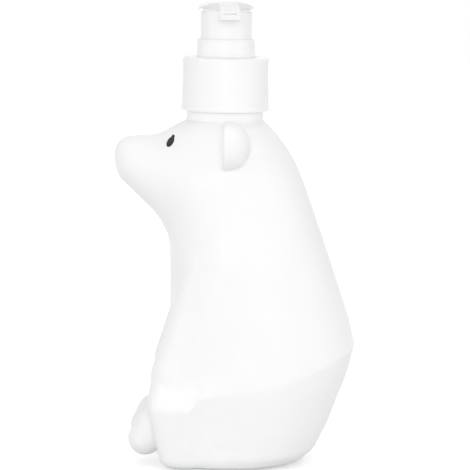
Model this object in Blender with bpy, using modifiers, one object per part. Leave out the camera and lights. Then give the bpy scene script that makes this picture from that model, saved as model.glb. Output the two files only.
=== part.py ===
# Bear-shaped shampoo dispenser: a blow-moulded sitting bear with a lotion pump in its neck.
# Metres, +Z up. The bear looks along -Y, it is even about X = 0, and the nozzle points to +X.
# The origin is on the table, under the middle of the bear.

import math

import bmesh
import bpy
import numpy as np
from mathutils import Matrix, Vector
from mathutils.bvhtree import BVHTree

# Fits
GAP = 0.0003  # between pieces that rest on or slide in each other
OVERRUN = 0.002  # how far a cutter runs past what it cuts
MERGE_DISTANCE = 0.00001

# Bear, outside
PUMP_Y = -0.0047  # the neck and the whole pump stand on this line
SHOULDER_HEIGHT = 0.1336  # where the shoulders meet the neck
BACK_REACH = 0.0475  # the corner of the back behind the origin
CHEST_REACH = 0.0252  # the chest in front of the origin
HAUNCH_HALF_WIDTH = 0.0330  # widest line of the body
RIDGE_HEIGHT = 0.0306  # crease between torso and haunch, beside the origin
RIDGE_BACK_CLIMB = 0.0168  # how much higher the crease is at the corner of the back
RIDGE_RISE_SHARES = (0.45, 0.55)  # straight and bowed part of the crease's climb to the back

# Rings of the body. Each gives its height share (0 at the crease, 1 at the shoulder, -1 on the
# table), the front, back and side reach as shares of the three sizes above, and its squareness.
BODY_RING_SHARES = (
    (-1.000, 0.890, 0.429, 0.697, 2.19),
    (-0.970, 0.985, 0.541, 0.756, 2.23),
    (-0.900, 1.050, 0.634, 0.823, 2.32),
    (-0.700, 1.070, 0.749, 0.886, 2.41),
    (-0.400, 1.040, 0.866, 0.940, 2.45),
    (-0.200, 1.010, 0.945, 0.974, 2.49),
    (0.000, 1.000, 1.000, 1.000, 2.5),
    (0.120, 0.995, 0.952, 0.980, 2.5),
    (0.250, 0.993, 0.881, 0.953, 2.5),
    (0.400, 0.996, 0.792, 0.915, 2.5),
    (0.550, 1.020, 0.696, 0.870, 2.45),
    (0.680, 1.070, 0.608, 0.825, 2.4),
    (0.780, 1.110, 0.533, 0.788, 2.3),
    (0.860, 1.120, 0.455, 0.733, 2.2),
    (0.920, 1.090, 0.371, 0.655, 2.1),
    (0.965, 0.990, 0.295, 0.560, 2.05),
    (0.990, 0.845, 0.240, 0.480, 2.0),
    (1.000, 0.755, 0.215, 0.430, 2.0),
)

# Snout: a blunt cone from the nose to the cheeks, and a slimmer one along the bridge of the nose.
# A drop is measured down from the shoulder height.
NOSE_REACH = 0.0472
NOSE_DROP = 0.0171
NOSE_RADIUS = 0.0101
CHEEK_Y = -0.0150
CHEEK_DROP = 0.0254
CHEEK_RADIUS = 0.0192
BRIDGE_TIP_DROP = 0.0134
BRIDGE_TIP_RADIUS = 0.0064
BRIDGE_ROOT_Y = -0.0240
BRIDGE_ROOT_DROP = 0.0148
BRIDGE_ROOT_RADIUS = 0.0086
SNOUT_WIDENING = 1.12  # width over height
BRIDGE_BLEND = 0.0020
SNOUT_BLEND = 0.0070

# Ears: thick round flaps with a dished front
EAR_X = 0.0235
EAR_FRONT_Y = -0.0052
EAR_DROP = 0.0083
EAR_HALF_HEIGHT = 0.0092
EAR_HALF_WIDTH = 0.0096
EAR_THICKNESS = 0.0101
EAR_DISH_RADIUS = 0.0160
EAR_DISH_DEPTH = 0.0013

# Arms: tapered bars lying down the chest on to the legs
ARM_TOP_X = 0.0185
ARM_TOP_Y = -0.0096
ARM_TOP_HEIGHT = 0.0780
ARM_TOP_RADIUS = 0.0090
PAW_X = 0.0200
PAW_Y = -0.0226
PAW_HEIGHT = 0.0365
PAW_RADIUS = 0.0088
ARM_BLEND = 0.0030

# Legs: blocks with a round top, leaning out and forward as they rise
LEG_OUTER_X = 0.0326
LEG_INNER_X = 0.0060
LEG_TOP = 0.0340
LEG_FRONT_REACH = 0.0322
LEG_WIDEST_HEIGHT = 0.0240
LEG_SIDE_LEAN = math.radians(13.5)
LEG_FRONT_LEAN = math.radians(12.5)
LEG_TOP_ROUNDING = 0.0120
LEG_EDGE_ROUNDING = 0.0050
LEG_BACK_Y = 0.0100
LEG_BLEND = 0.0030

# Feet: blunt pads under the front of the legs
FOOT_X = 0.0135
FOOT_WIDENING = 1.25  # width over height
INSTEP_INSET = 0.0015  # behind the front of the leg
INSTEP_HEIGHT = 0.0157
INSTEP_RADIUS = 0.0070
TOE_OUTSET = 0.0013  # in front of the leg
TOE_HEIGHT = 0.0104
TOE_RADIUS = 0.0066
FOOT_BLEND = 0.0015

# Bottle wall, base and neck
WALL = 0.0015
BASE_PUSH_UP = 0.0016  # depth of the recess inside the standing ring
BASE_RING_WIDTH = 0.0055
BASE_TAPER_SHARE = 0.9  # size of the recess's ceiling over its mouth
NECK_STAND_RADIUS = 0.0150
NECK_STAND_RISE = 0.0032  # above the shoulder
NECK_STAND_DEPTH = 0.0046  # the stand starts this far inside the shoulder
NECK_RADIUS = 0.0126
NECK_HEIGHT = 0.0151
NECK_BORE_RADIUS = 0.01075
NECK_EDGE = 0.0005
THREAD_PITCH = 0.004233
THREAD_TURNS = 1.25
THREAD_BEAD_RADIUS = 0.00085
THREAD_STAND_OFF = 0.0003  # from the neck's wall out to the bead's middle line
NECK_THREAD_RISE = 0.0052  # start of the thread above the stand
CLOSURE_THREAD_SINK = 0.00025  # from the closure's bore in to its bead's middle line

# Eyes: printed ovals with a small lobe at the upper end
EYE_Y = -0.0254
EYE_DROP = 0.0081
EYE_HALF_LENGTH = 0.0024
EYE_HALF_WIDTH = 0.00125
EYE_TILT = math.radians(62.0)
EYE_LOBE_GROWTH = 0.0004
EYE_LOBE_RADIUS = 0.0006
INK_GAP = 0.0004
INK_THICKNESS = 0.0003

# Closure
CLOSURE_PLATE = 0.0016
CLOSURE_BORE_RADIUS = 0.0141
CLOSURE_WALL = 0.0024  # at the top
CLOSURE_FLARE = 0.0006  # how much wider the foot is than the top
CLOSURE_CORNER = 0.0014
CLOSURE_LIP = 0.0005
PLATE_CLEARANCE = 0.0003  # between the cup and the hole in the plate

# Lock cup, which guides the stem and takes the skirt of the actuator
CUP_FLANGE = 0.0012
CUP_RISE = 0.0088
CUP_WALL = 0.0008
CUP_FLARE = 0.00045
CUP_EDGE = 0.0003
FLANGE_RADIUS = 0.0136
CUP_GUIDE_RISE = 0.0055
CUP_GUIDE_RADIUS = 0.0056
CUP_STOP_RADIUS = 0.0069
CUP_STOP_DEPTH = 0.0033  # how far the piston stop hangs below the flange

# Pump housing and its gasket
GASKET_THICKNESS = 0.0010
HOUSING_FLANGE = 0.0010
CYLINDER_RADIUS = 0.0073
CYLINDER_WALL = 0.0013
CYLINDER_DEPTH = 0.0350
HOUSING_FLOOR = 0.0013
CHAMBER_RADIUS = 0.0033
CHAMBER_WALL = 0.0013
CHAMBER_DEPTH = 0.0053
SEAT_HOLE_RADIUS = 0.0016
SEAT_LAND = 0.0010
SOCKET_DEPTH = 0.0075
SOCKET_WALL = 0.0010
BALL_RADIUS = 0.0024
BALL_LIFT = 0.0012

# Ball cage
CAGE_RING_THICKNESS = 0.0012
CAGE_RING_BORE = 0.0031
CAGE_BAR_WIDTH = 0.0011
TIE_BAR_SHARE = 0.9  # width of the upper bars over the lower ones

# Dip tube
TUBE_RADIUS = 0.00225
TUBE_BORE = 0.00150
TUBE_FOOT_CLEARANCE = 0.0004
TUBE_CUT_TILT = math.radians(30.0)

# Stem, plug and piston
STROKE = 0.0065
STEM_RADIUS = 0.0039
STEM_BORE = 0.0025
PORT_RADIUS = 0.0005
PISTON_TRAVEL = 0.0016  # the piston slides this far on the stem and so opens the ports
PLUG_FLANGE_RADIUS = 0.0062
PLUG_FLANGE = 0.0021
PLUG_SHANK = 0.0008
PISTON_HEIGHT = 0.0072
PISTON_LIP = 0.0010
PISTON_WAIST = 0.0006

# Return spring
SPRING_WIRE_RADIUS = 0.0005
SPRING_MEAN_RADIUS = 0.0054
SPRING_TURNS = 7
SPRING_TURN_POINTS = 10

# Actuator. A rise is measured from the top of the skirt.
SKIRT_RADIUS = 0.00985
SKIRT_WALL = 0.00125
SKIRT_HEIGHT = 0.0115
SKIRT_EDGE = 0.0004
SKIRT_ROOF = 0.0011
BOSS_RADIUS = 0.0059
BOSS_CLEARANCE = 0.0005  # over the cup's guide when the head is down
CORE_RADIUS = 0.0085
CORE_RISE = 0.0030
CHANNEL_TOP_RISE = 0.0011
SADDLE_MIDDLE_RISE = 0.0048
SADDLE_FRONT_RISE = 0.0004  # towards the nozzle
SADDLE_BACK_RISE = 0.0008
SADDLE_DROP = 0.0034  # at the two sides
SADDLE_HALF_LENGTH = 0.0124
SADDLE_HALF_WIDTH = 0.01085
SADDLE_SQUARENESS = 2.6
SADDLE_RING_SHARES = (0.3, 0.6, 0.8, 0.92, 0.98, 1.0)
SADDLE_RIM = 0.0011
SADDLE_ROOT = 0.0032
SADDLE_EDGE = 0.00025
NOZZLE_REACH = 0.0200
NOZZLE_CLEARANCE = 0.0006  # over the cup's rim when the head is down
NOZZLE_DEPTH = 0.0070  # at its root
NOZZLE_TIP_DEPTH = 0.0030
NOZZLE_UNDERCUT = 0.0006  # how much the underside climbs to the tip
NOZZLE_WIDTH = 0.0078
NOZZLE_ROUNDING = 0.0008
MOUTH_WIDTH = 0.0047
MOUTH_HEIGHT = 0.0016
MOUTH_ROUNDING = 0.0004
MOUTH_DROP = 0.0005  # from the top edge of the tip to the mouth
CHANNEL_RISE = 0.0010  # from the mouth back to the stem
NOZZLE_TURN = math.radians(4.5)  # the head stands this far round from +X

# Fineness of the meshes
ROUND_STEPS = 36
SMALL_STEPS = 24
CORNER_STEPS = 4
FRONT_COLUMNS = 34
REAR_COLUMNS = 24
FRONT_ARC = math.radians(62.0)  # each side of the nose line
TORSO_ROWS = 25
HAUNCH_ROWS = 9
ROW_CROWDING = 0.8
CAVITY_COLUMNS = 17
CAVITY_TORSO_ROWS = 19
CAVITY_HAUNCH_ROWS = 6
RAY_SAMPLES = 500
RAY_REACH_SHARE = 1.6  # length of the search for the skin over the reach of the back
NEAREST_SHARE = 0.000001  # keeps the middle line of the body out of a division
THREAD_TURN_POINTS = 26
EAR_STEPS = 20
BALL_STEPS = 16
EYE_LOBE_SHARPNESS = 8

# Places that follow
RIDGE_BACK_HEIGHT = RIDGE_HEIGHT + RIDGE_BACK_CLIMB
INNER_FLOOR = BASE_PUSH_UP + 2 * WALL
NECK_STAND_TOP = SHOULDER_HEIGHT + NECK_STAND_RISE
NECK_STAND_ROOT = SHOULDER_HEIGHT - NECK_STAND_DEPTH
NECK_TOP = NECK_STAND_TOP + NECK_HEIGHT
NECK_THREAD_START = NECK_STAND_TOP + NECK_THREAD_RISE
NECK_THREAD_RADIUS = NECK_RADIUS + THREAD_STAND_OFF
CLOSURE_THREAD_RADIUS = CLOSURE_BORE_RADIUS - CLOSURE_THREAD_SINK
GASKET_BOTTOM = NECK_TOP + GAP
GASKET_TOP = GASKET_BOTTOM + GASKET_THICKNESS
HOUSING_FLANGE_BOTTOM = GASKET_TOP + GAP
HOUSING_TOP = HOUSING_FLANGE_BOTTOM + HOUSING_FLANGE
CUP_FLANGE_BOTTOM = HOUSING_TOP + GAP
CUP_FLANGE_TOP = CUP_FLANGE_BOTTOM + CUP_FLANGE
PLATE_BOTTOM = CUP_FLANGE_TOP + GAP
CLOSURE_TOP = PLATE_BOTTOM + CLOSURE_PLATE
CLOSURE_FOOT = NECK_STAND_TOP + GAP
CLOSURE_TOP_RADIUS = CLOSURE_BORE_RADIUS + CLOSURE_WALL
CUP_TOP = CUP_FLANGE_TOP + CUP_RISE
CUP_BORE_RADIUS = SKIRT_RADIUS + GAP
CUP_TOP_RADIUS = CUP_BORE_RADIUS + CUP_WALL
CUP_FOOT_RADIUS = CUP_TOP_RADIUS + CUP_FLARE
CUP_GUIDE_TOP = CUP_FLANGE_TOP + CUP_GUIDE_RISE
CUP_STOP_FOOT = CUP_FLANGE_BOTTOM - CUP_STOP_DEPTH
PISTON_TOP = CUP_STOP_FOOT - GAP - PISTON_TRAVEL
PISTON_FOOT = PISTON_TOP - PISTON_HEIGHT
PLUG_TOP = PISTON_FOOT - GAP
PLUG_BOTTOM = PLUG_TOP - PLUG_FLANGE
STEM_FOOT = PLUG_TOP + GAP
PORT_HEIGHT = PISTON_FOOT + PISTON_TRAVEL - PORT_RADIUS
HOUSING_RADIUS = CYLINDER_RADIUS + CYLINDER_WALL
CYLINDER_FLOOR = HOUSING_TOP - CYLINDER_DEPTH
SEAT_TOP = CYLINDER_FLOOR - CHAMBER_DEPTH
SEAT_BOTTOM = SEAT_TOP - (CHAMBER_RADIUS - SEAT_HOLE_RADIUS)  # the seat is a 45 degree cone
BALL_HEIGHT = SEAT_TOP - CHAMBER_RADIUS + (BALL_RADIUS + GAP) * math.sqrt(2)
SOCKET_TOP = SEAT_BOTTOM - SEAT_LAND
TUBE_TOP = SOCKET_TOP - GAP
TUBE_FOOT = INNER_FLOOR + TUBE_FOOT_CLEARANCE
CAGE_BOTTOM = CYLINDER_FLOOR + GAP
CAGE_TOP = CAGE_BOTTOM + CAGE_RING_THICKNESS
SPRING_FOOT = CAGE_TOP + GAP
SPRING_TOP = PLUG_BOTTOM - GAP
SKIRT_FOOT = CUP_FLANGE_TOP + GAP + STROKE
SKIRT_TOP = SKIRT_FOOT + SKIRT_HEIGHT
BOSS_FOOT = CUP_GUIDE_TOP + STROKE + BOSS_CLEARANCE
STEM_TOP = SKIRT_TOP - GAP
CORE_TOP = SKIRT_TOP + CORE_RISE
CHANNEL_TOP = SKIRT_TOP + CHANNEL_TOP_RISE
SADDLE_MIDDLE = SKIRT_TOP + SADDLE_MIDDLE_RISE
NOZZLE_ROOT_BOTTOM = CUP_TOP + STROKE + NOZZLE_CLEARANCE
NOZZLE_ROOT_TOP = NOZZLE_ROOT_BOTTOM + NOZZLE_DEPTH
NOZZLE_TIP_BOTTOM = NOZZLE_ROOT_BOTTOM + NOZZLE_UNDERCUT
NOZZLE_TIP_TOP = NOZZLE_TIP_BOTTOM + NOZZLE_TIP_DEPTH


# Scene, collections and materials


def clear_scene():
    for obj in list(bpy.data.objects):
        bpy.data.objects.remove(obj)


def new_collection(name):
    collection = bpy.data.collections.new(name)
    bpy.context.scene.collection.children.link(collection)
    return collection


def plastic(name, colour, roughness, metallic=0.0):
    material = bpy.data.materials.new(name)
    material.use_nodes = True
    shader = material.node_tree.nodes["Principled BSDF"]
    shader.inputs["Base Color"].default_value = (*colour, 1.0)
    shader.inputs["Roughness"].default_value = roughness
    shader.inputs["Metallic"].default_value = metallic
    return material


clear_scene()
parts = new_collection("bear_shampoo_dispenser")
cutters = new_collection("cutters")


def add_mesh(name, mesh, collection, location=(0, 0, 0)):
    obj = bpy.data.objects.new(name, mesh)
    obj.location = location
    collection.objects.link(obj)
    return obj


def as_tool(obj):
    obj.hide_render = True
    obj.display_type = "WIRE"
    return obj


def smooth(mesh, angle=math.radians(40)):
    mesh.shade_smooth()
    mesh.set_sharp_from_angle(angle=angle)


def boolean(obj, tool, operation):
    modifier = obj.modifiers.new(f"{operation.lower()}_{tool.name}", "BOOLEAN")
    modifier.object = tool
    modifier.operation = operation
    modifier.solver = "EXACT"


def evaluated_mesh(obj):
    bpy.context.view_layer.update()
    depsgraph = bpy.context.evaluated_depsgraph_get()
    return bpy.data.meshes.new_from_object(obj.evaluated_get(depsgraph))


def turned(name, profile, steps, collection, closed=False):
    # A profile of (radius, height) points, down its outer side first, turned round the pump's line
    mesh = bpy.data.meshes.new(name)
    edges = [(i, i + 1) for i in range(len(profile) - 1)]
    if closed:
        edges.append((len(profile) - 1, 0))
    mesh.from_pydata([(radius, 0, height) for radius, height in profile], edges, [])
    obj = add_mesh(name, mesh, collection, (0, PUMP_Y, 0))
    screw = obj.modifiers.new("turn", "SCREW")
    screw.steps = steps
    screw.render_steps = steps
    screw.use_merge_vertices = True
    screw.merge_threshold = MERGE_DISTANCE
    return obj


def mesh_from_tube(name, points, radius, resolution, collection, location=(0, PUMP_Y, 0)):
    # A round bar along points, with its ends closed, as a mesh
    curve = bpy.data.curves.new(name + "_path", "CURVE")
    curve.dimensions = "3D"
    curve.bevel_depth = radius
    curve.bevel_resolution = resolution
    curve.use_fill_caps = True
    spline = curve.splines.new("POLY")
    spline.points.add(len(points) - 1)
    for place, point in zip(spline.points, points):
        place.co = (*point, 1)
    guide = add_mesh(name + "_path", curve, cutters, location)
    mesh = evaluated_mesh(guide)
    mesh.name = name
    bpy.data.objects.remove(guide)
    work = bmesh.new()
    work.from_mesh(mesh)
    bmesh.ops.remove_doubles(work, verts=work.verts, dist=MERGE_DISTANCE)
    bmesh.ops.recalc_face_normals(work, faces=work.faces)
    work.to_mesh(mesh)
    work.free()
    return add_mesh(name, mesh, collection, location)


def box(name, low, high, collection, location=(0, PUMP_Y, 0)):
    work = bmesh.new()
    bmesh.ops.create_cube(work, size=1)
    low, high = Vector(low), Vector(high)
    bmesh.ops.scale(work, vec=high - low, verts=work.verts)
    bmesh.ops.translate(work, vec=(low + high) / 2, verts=work.verts)
    mesh = bpy.data.meshes.new(name)
    work.to_mesh(mesh)
    work.free()
    return add_mesh(name, mesh, collection, location)


# The bear's shape, as a field that is negative inside


def blend(a, b, width):
    # the smaller of two distances, with the hollow between them filled
    near = np.maximum(width - np.abs(a - b), 0) / width
    return np.minimum(a, b) - near * near * width / 4


def trim(a, b, width):
    # the larger of two distances, with the edge between them rounded
    return -blend(-a, -b, width)


def ridge(y):
    along = y / BACK_REACH
    straight, bowed = RIDGE_RISE_SHARES
    return RIDGE_HEIGHT + RIDGE_BACK_CLIMB * (straight * along + bowed * along**2)


def height_share(y, z):
    crease = ridge(y)
    above = (z - crease) / (SHOULDER_HEIGHT - crease)
    below = z / crease - 1
    return np.where(z > crease, above, below)


def row_height(share, y):
    crease = ridge(y)
    return np.where(share > 0, crease + share * (SHOULDER_HEIGHT - crease), crease * (1 + share))


def through(places, values, at):
    # a curve through the values, bending evenly from place to place
    slope = np.gradient(values, places)
    at = np.clip(at, places[0], places[-1])
    left = np.clip(np.searchsorted(places, at) - 1, 0, len(places) - 2)
    span = places[left + 1] - places[left]
    t = (at - places[left]) / span
    return (
        values[left] * (1 + 2 * t) * (1 - t) ** 2
        + slope[left] * span * t * (1 - t) ** 2
        + values[left + 1] * t * t * (3 - 2 * t)
        + slope[left + 1] * span * t * t * (t - 1)
    )


def ring_sizes(share):
    # front, back, half width and squareness; the crease at share 0 stays a corner
    table = np.array(BODY_RING_SHARES)
    lower, upper = table[table[:, 0] <= 0], table[table[:, 0] >= 0]
    sizes = []
    for column, size in ((1, -CHEST_REACH), (2, BACK_REACH), (3, HAUNCH_HALF_WIDTH), (4, 1)):
        above = through(upper[:, 0], upper[:, column], share)
        below = through(lower[:, 0], lower[:, column], share)
        sizes.append(np.where(share > 0, above, below) * size)
    return sizes


def torso(x, y, z):
    front, back, half_width, squareness = ring_sizes(height_share(y, z))
    middle, half_depth = (front + back) / 2, (back - front) / 2
    across = np.abs(x) / half_width
    along = np.abs(y - middle) / half_depth
    reach = (across**squareness + along**squareness) ** (1 / squareness)
    reach = np.maximum(reach, NEAREST_SHARE)
    return np.hypot(x, y - middle) * (1 - 1 / reach)


def round_cone(y, z, across, start, start_radius, end, end_radius):
    # a bar between two balls of unlike radius, in the plane x = 0
    along = np.array(end) - np.array(start)
    length = math.hypot(*along)
    dy, dz = y - start[0], z - start[1]
    axial = (dy * along[0] + dz * along[1]) / length
    radial = np.sqrt(np.maximum(dy * dy + dz * dz - axial * axial, 0) + across * across)
    lean = (start_radius - end_radius) / length
    slide = np.clip((axial - radial * lean / math.sqrt(1 - lean * lean)) / length, 0, 1)
    radius = start_radius + (end_radius - start_radius) * slide
    return np.hypot(axial - slide * length, radial) - radius


def snout(x, y, z):
    nose = (-NOSE_REACH + NOSE_RADIUS, SHOULDER_HEIGHT - NOSE_DROP)
    cheek = (CHEEK_Y, SHOULDER_HEIGHT - CHEEK_DROP)
    across = x / SNOUT_WIDENING
    lower = round_cone(y, z, across, nose, NOSE_RADIUS, cheek, CHEEK_RADIUS)
    tip = (-NOSE_REACH + BRIDGE_TIP_RADIUS, SHOULDER_HEIGHT - BRIDGE_TIP_DROP)
    root = (BRIDGE_ROOT_Y, SHOULDER_HEIGHT - BRIDGE_ROOT_DROP)
    bridge = round_cone(y, z, across, tip, BRIDGE_TIP_RADIUS, root, BRIDGE_ROOT_RADIUS)
    return blend(lower, bridge, BRIDGE_BLEND)


def arm(side, y, z):
    down = np.clip((ARM_TOP_HEIGHT - z) / (ARM_TOP_HEIGHT - PAW_HEIGHT), 0, 1)
    across = side - (ARM_TOP_X + (PAW_X - ARM_TOP_X) * down)
    top, paw = (ARM_TOP_Y, ARM_TOP_HEIGHT), (PAW_Y, PAW_HEIGHT)
    return round_cone(y, z, across, top, ARM_TOP_RADIUS, paw, PAW_RADIUS)


def leg(side, y, z):
    drop = LEG_WIDEST_HEIGHT - z
    outer = (side - LEG_OUTER_X) * math.cos(LEG_SIDE_LEAN) + drop * math.sin(LEG_SIDE_LEAN)
    outer = np.maximum(outer, side - LEG_OUTER_X)
    before = -LEG_FRONT_REACH - y
    front = before * math.cos(LEG_FRONT_LEAN) + drop * math.sin(LEG_FRONT_LEAN)
    front = np.maximum(front, before)
    shape = trim(outer, z - LEG_TOP, LEG_TOP_ROUNDING)
    shape = trim(shape, front, LEG_EDGE_ROUNDING)
    shape = trim(shape, LEG_INNER_X - side, LEG_EDGE_ROUNDING)
    shape = trim(shape, y - LEG_BACK_Y, LEG_EDGE_ROUNDING)
    return trim(shape, -z, LEG_EDGE_ROUNDING)


def foot(side, y, z):
    across = (side - FOOT_X) / FOOT_WIDENING
    instep = (-LEG_FRONT_REACH + INSTEP_INSET, INSTEP_HEIGHT)
    toe = (-LEG_FRONT_REACH - TOE_OUTSET, TOE_HEIGHT)
    return round_cone(y, z, across, instep, INSTEP_RADIUS, toe, TOE_RADIUS)


def body(x, y, z):
    side = np.abs(x)
    shape = blend(torso(x, y, z), snout(x, y, z), SNOUT_BLEND)
    shape = blend(shape, leg(side, y, z), LEG_BLEND)
    return blend(shape, arm(side, y, z), ARM_BLEND)


def body_with_feet(x, y, z):
    return blend(body(x, y, z), foot(np.abs(x), y, z), FOOT_BLEND)


def skin(name, field, shares, turns, collection):
    # Rings at the height shares, each found by going out from the body's middle line until the
    # field is left for the last time, joined to one closed mesh
    farthest = RAY_REACH_SHARE * BACK_REACH
    reach = np.linspace(0, farthest, RAY_SAMPLES)[None, :]
    across = np.sin(turns)[:, None]
    along = -np.cos(turns)[:, None]
    mesh = bpy.data.meshes.new(name)
    work = bmesh.new()
    rings = []
    for share in shares:
        front, back, _, _ = ring_sizes(np.array([share]))
        middle = (front[0] + back[0]) / 2
        x, y = across * reach, middle + along * reach
        values = field(x, y, row_height(share, y))
        inside = values < 0
        last = RAY_SAMPLES - 1 - np.argmax(inside[:, ::-1], axis=1)
        rows = np.arange(len(turns))
        here, beyond = values[rows, last], values[rows, last + 1]
        distance = (last + here / (here - beyond)) * farthest / (RAY_SAMPLES - 1)
        x = np.sin(turns) * distance
        y = middle - np.cos(turns) * distance
        z = row_height(share, y)
        rings.append([work.verts.new(point) for point in zip(x, y, z)])
    count = len(turns)
    for low, high in zip(rings, rings[1:]):
        for i in range(count):
            work.faces.new((low[i], low[(i + 1) % count], high[(i + 1) % count], high[i]))
    work.faces.new(rings[0][::-1])
    work.faces.new(rings[-1])
    bmesh.ops.recalc_face_normals(work, faces=work.faces)
    bmesh.ops.triangulate(work, faces=work.faces)
    work.to_mesh(mesh)
    work.free()
    smooth(mesh)
    return add_mesh(name, mesh, collection)


def column_turns(front_columns, rear_columns):
    # angles round the body from the nose line, closer together in front
    front = np.linspace(-FRONT_ARC, FRONT_ARC, front_columns + 1)[:-1]
    rear = np.linspace(FRONT_ARC, 2 * math.pi - FRONT_ARC, rear_columns + 1)[:-1]
    return np.concatenate((front, rear))


def row_shares(haunch_rows, torso_rows, floor, roof):
    # rows close up towards the table and the shoulder, where the outline turns in
    low = floor * np.sin(np.linspace(math.pi / 2, 0, haunch_rows + 1))[:-1]
    high = roof * np.sin(np.linspace(0, math.pi / 2, torso_rows + 1)) ** ROW_CROWDING
    return np.concatenate((low, high))


# Bottle


def thread(name, radius, start, collection):
    # a round bead that climbs the thread's pitch each turn
    count = round(THREAD_TURNS * THREAD_TURN_POINTS)
    points = []
    for i in range(count + 1):
        turn = 2 * math.pi * i / THREAD_TURN_POINTS
        height = start + THREAD_PITCH * i / THREAD_TURN_POINTS
        points.append((radius * math.cos(turn), radius * math.sin(turn), height))
    return mesh_from_tube(name, points, THREAD_BEAD_RADIUS, 1, collection)


def ear(side):
    # the back half of a rounded flap, its front face dished
    name = "ear_right" if side < 0 else "ear_left"
    ear_height = SHOULDER_HEIGHT - EAR_DROP
    work = bmesh.new()
    bmesh.ops.create_uvsphere(work, u_segments=EAR_STEPS, v_segments=EAR_STEPS, radius=1)
    rooted = Matrix.Diagonal((EAR_HALF_WIDTH, EAR_THICKNESS, EAR_HALF_HEIGHT, 1))
    bmesh.ops.transform(work, matrix=rooted, verts=work.verts)
    front = bmesh.ops.bisect_plane(
        work, geom=work.verts[:] + work.edges[:] + work.faces[:], dist=MERGE_DISTANCE,
        plane_co=(0, 0, 0), plane_no=(0, -1, 0), clear_outer=True,
    )
    rim = [edge for edge in front["geom_cut"] if isinstance(edge, bmesh.types.BMEdge)]
    bmesh.ops.contextual_create(work, geom=rim)
    bmesh.ops.recalc_face_normals(work, faces=work.faces)
    mesh = bpy.data.meshes.new(name)
    work.to_mesh(mesh)
    work.free()
    smooth(mesh)
    flap = as_tool(add_mesh(name, mesh, cutters, (side * EAR_X, EAR_FRONT_Y, ear_height)))
    work = bmesh.new()
    bmesh.ops.create_uvsphere(work, u_segments=ROUND_STEPS, v_segments=SMALL_STEPS, radius=EAR_DISH_RADIUS)
    dish = bpy.data.meshes.new(name + "_dish")
    work.to_mesh(dish)
    work.free()
    dish_y = EAR_FRONT_Y + EAR_DISH_DEPTH - EAR_DISH_RADIUS
    hollow = as_tool(add_mesh(name + "_dish", dish, cutters, (side * EAR_X, dish_y, ear_height)))
    boolean(flap, hollow, "DIFFERENCE")
    return flap


def base_recess():
    # a shallow oval hollow inside the standing ring
    front, back, half_width, _ = ring_sizes(np.array([-1.0]))
    half_length = (back[0] - front[0]) / 2 - BASE_RING_WIDTH
    half_width = half_width[0] - BASE_RING_WIDTH
    work = bmesh.new()
    bmesh.ops.create_cone(
        work, cap_ends=True, segments=ROUND_STEPS, radius1=1, radius2=BASE_TAPER_SHARE,
        depth=BASE_PUSH_UP + OVERRUN,
    )
    bmesh.ops.scale(work, vec=(half_width, half_length, 1), verts=work.verts)
    mesh = bpy.data.meshes.new("base_recess")
    work.to_mesh(mesh)
    work.free()
    middle = (front[0] + back[0]) / 2
    place = (0, middle, (BASE_PUSH_UP - OVERRUN) / 2)
    return as_tool(add_mesh("base_recess", mesh, cutters, place))


def bottle():
    turns = column_turns(FRONT_COLUMNS, REAR_COLUMNS)
    outside = row_shares(HAUNCH_ROWS, TORSO_ROWS, -1.0, 1.0)
    obj = skin("bottle", body_with_feet, outside, turns, parts)

    neck = turned("neck", [
        (0, NECK_TOP),
        (NECK_RADIUS - NECK_EDGE, NECK_TOP),
        (NECK_RADIUS, NECK_TOP - NECK_EDGE),
        (NECK_RADIUS, NECK_STAND_TOP),
        (NECK_STAND_RADIUS - NECK_EDGE, NECK_STAND_TOP),
        (NECK_STAND_RADIUS, NECK_STAND_TOP - NECK_EDGE),
        (NECK_STAND_RADIUS, NECK_STAND_ROOT),
        (0, NECK_STAND_ROOT),
    ], ROUND_STEPS, cutters)
    neck_thread = thread("neck_thread", NECK_THREAD_RADIUS, NECK_THREAD_START, cutters)
    for tool in (ear(1), ear(-1), neck, neck_thread):
        boolean(obj, as_tool(tool), "UNION")

    def hollow(x, y, z):
        # arms, legs and feet are left out: they are solid where they stand proud of the torso
        return blend(torso(x, y, z), snout(x, y, z), SNOUT_BLEND) + WALL

    floor_share = INNER_FLOOR / RIDGE_BACK_HEIGHT - 1
    roof_share = 1 - WALL / SHOULDER_HEIGHT
    inside = row_shares(CAVITY_HAUNCH_ROWS, CAVITY_TORSO_ROWS, floor_share, roof_share)
    cavity_turns = column_turns(CAVITY_COLUMNS, CAVITY_COLUMNS)
    cavity = skin("cavity", hollow, inside, cavity_turns, cutters)
    bore = turned("neck_bore", [
        (0, NECK_TOP + OVERRUN),
        (NECK_BORE_RADIUS, NECK_TOP + OVERRUN),
        (NECK_BORE_RADIUS, NECK_STAND_ROOT - OVERRUN),
        (0, NECK_STAND_ROOT - OVERRUN),
    ], ROUND_STEPS, cutters)
    for tool in (cavity, bore, base_recess()):
        boolean(obj, as_tool(tool), "DIFFERENCE")
    return obj


# Printed eyes


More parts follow.
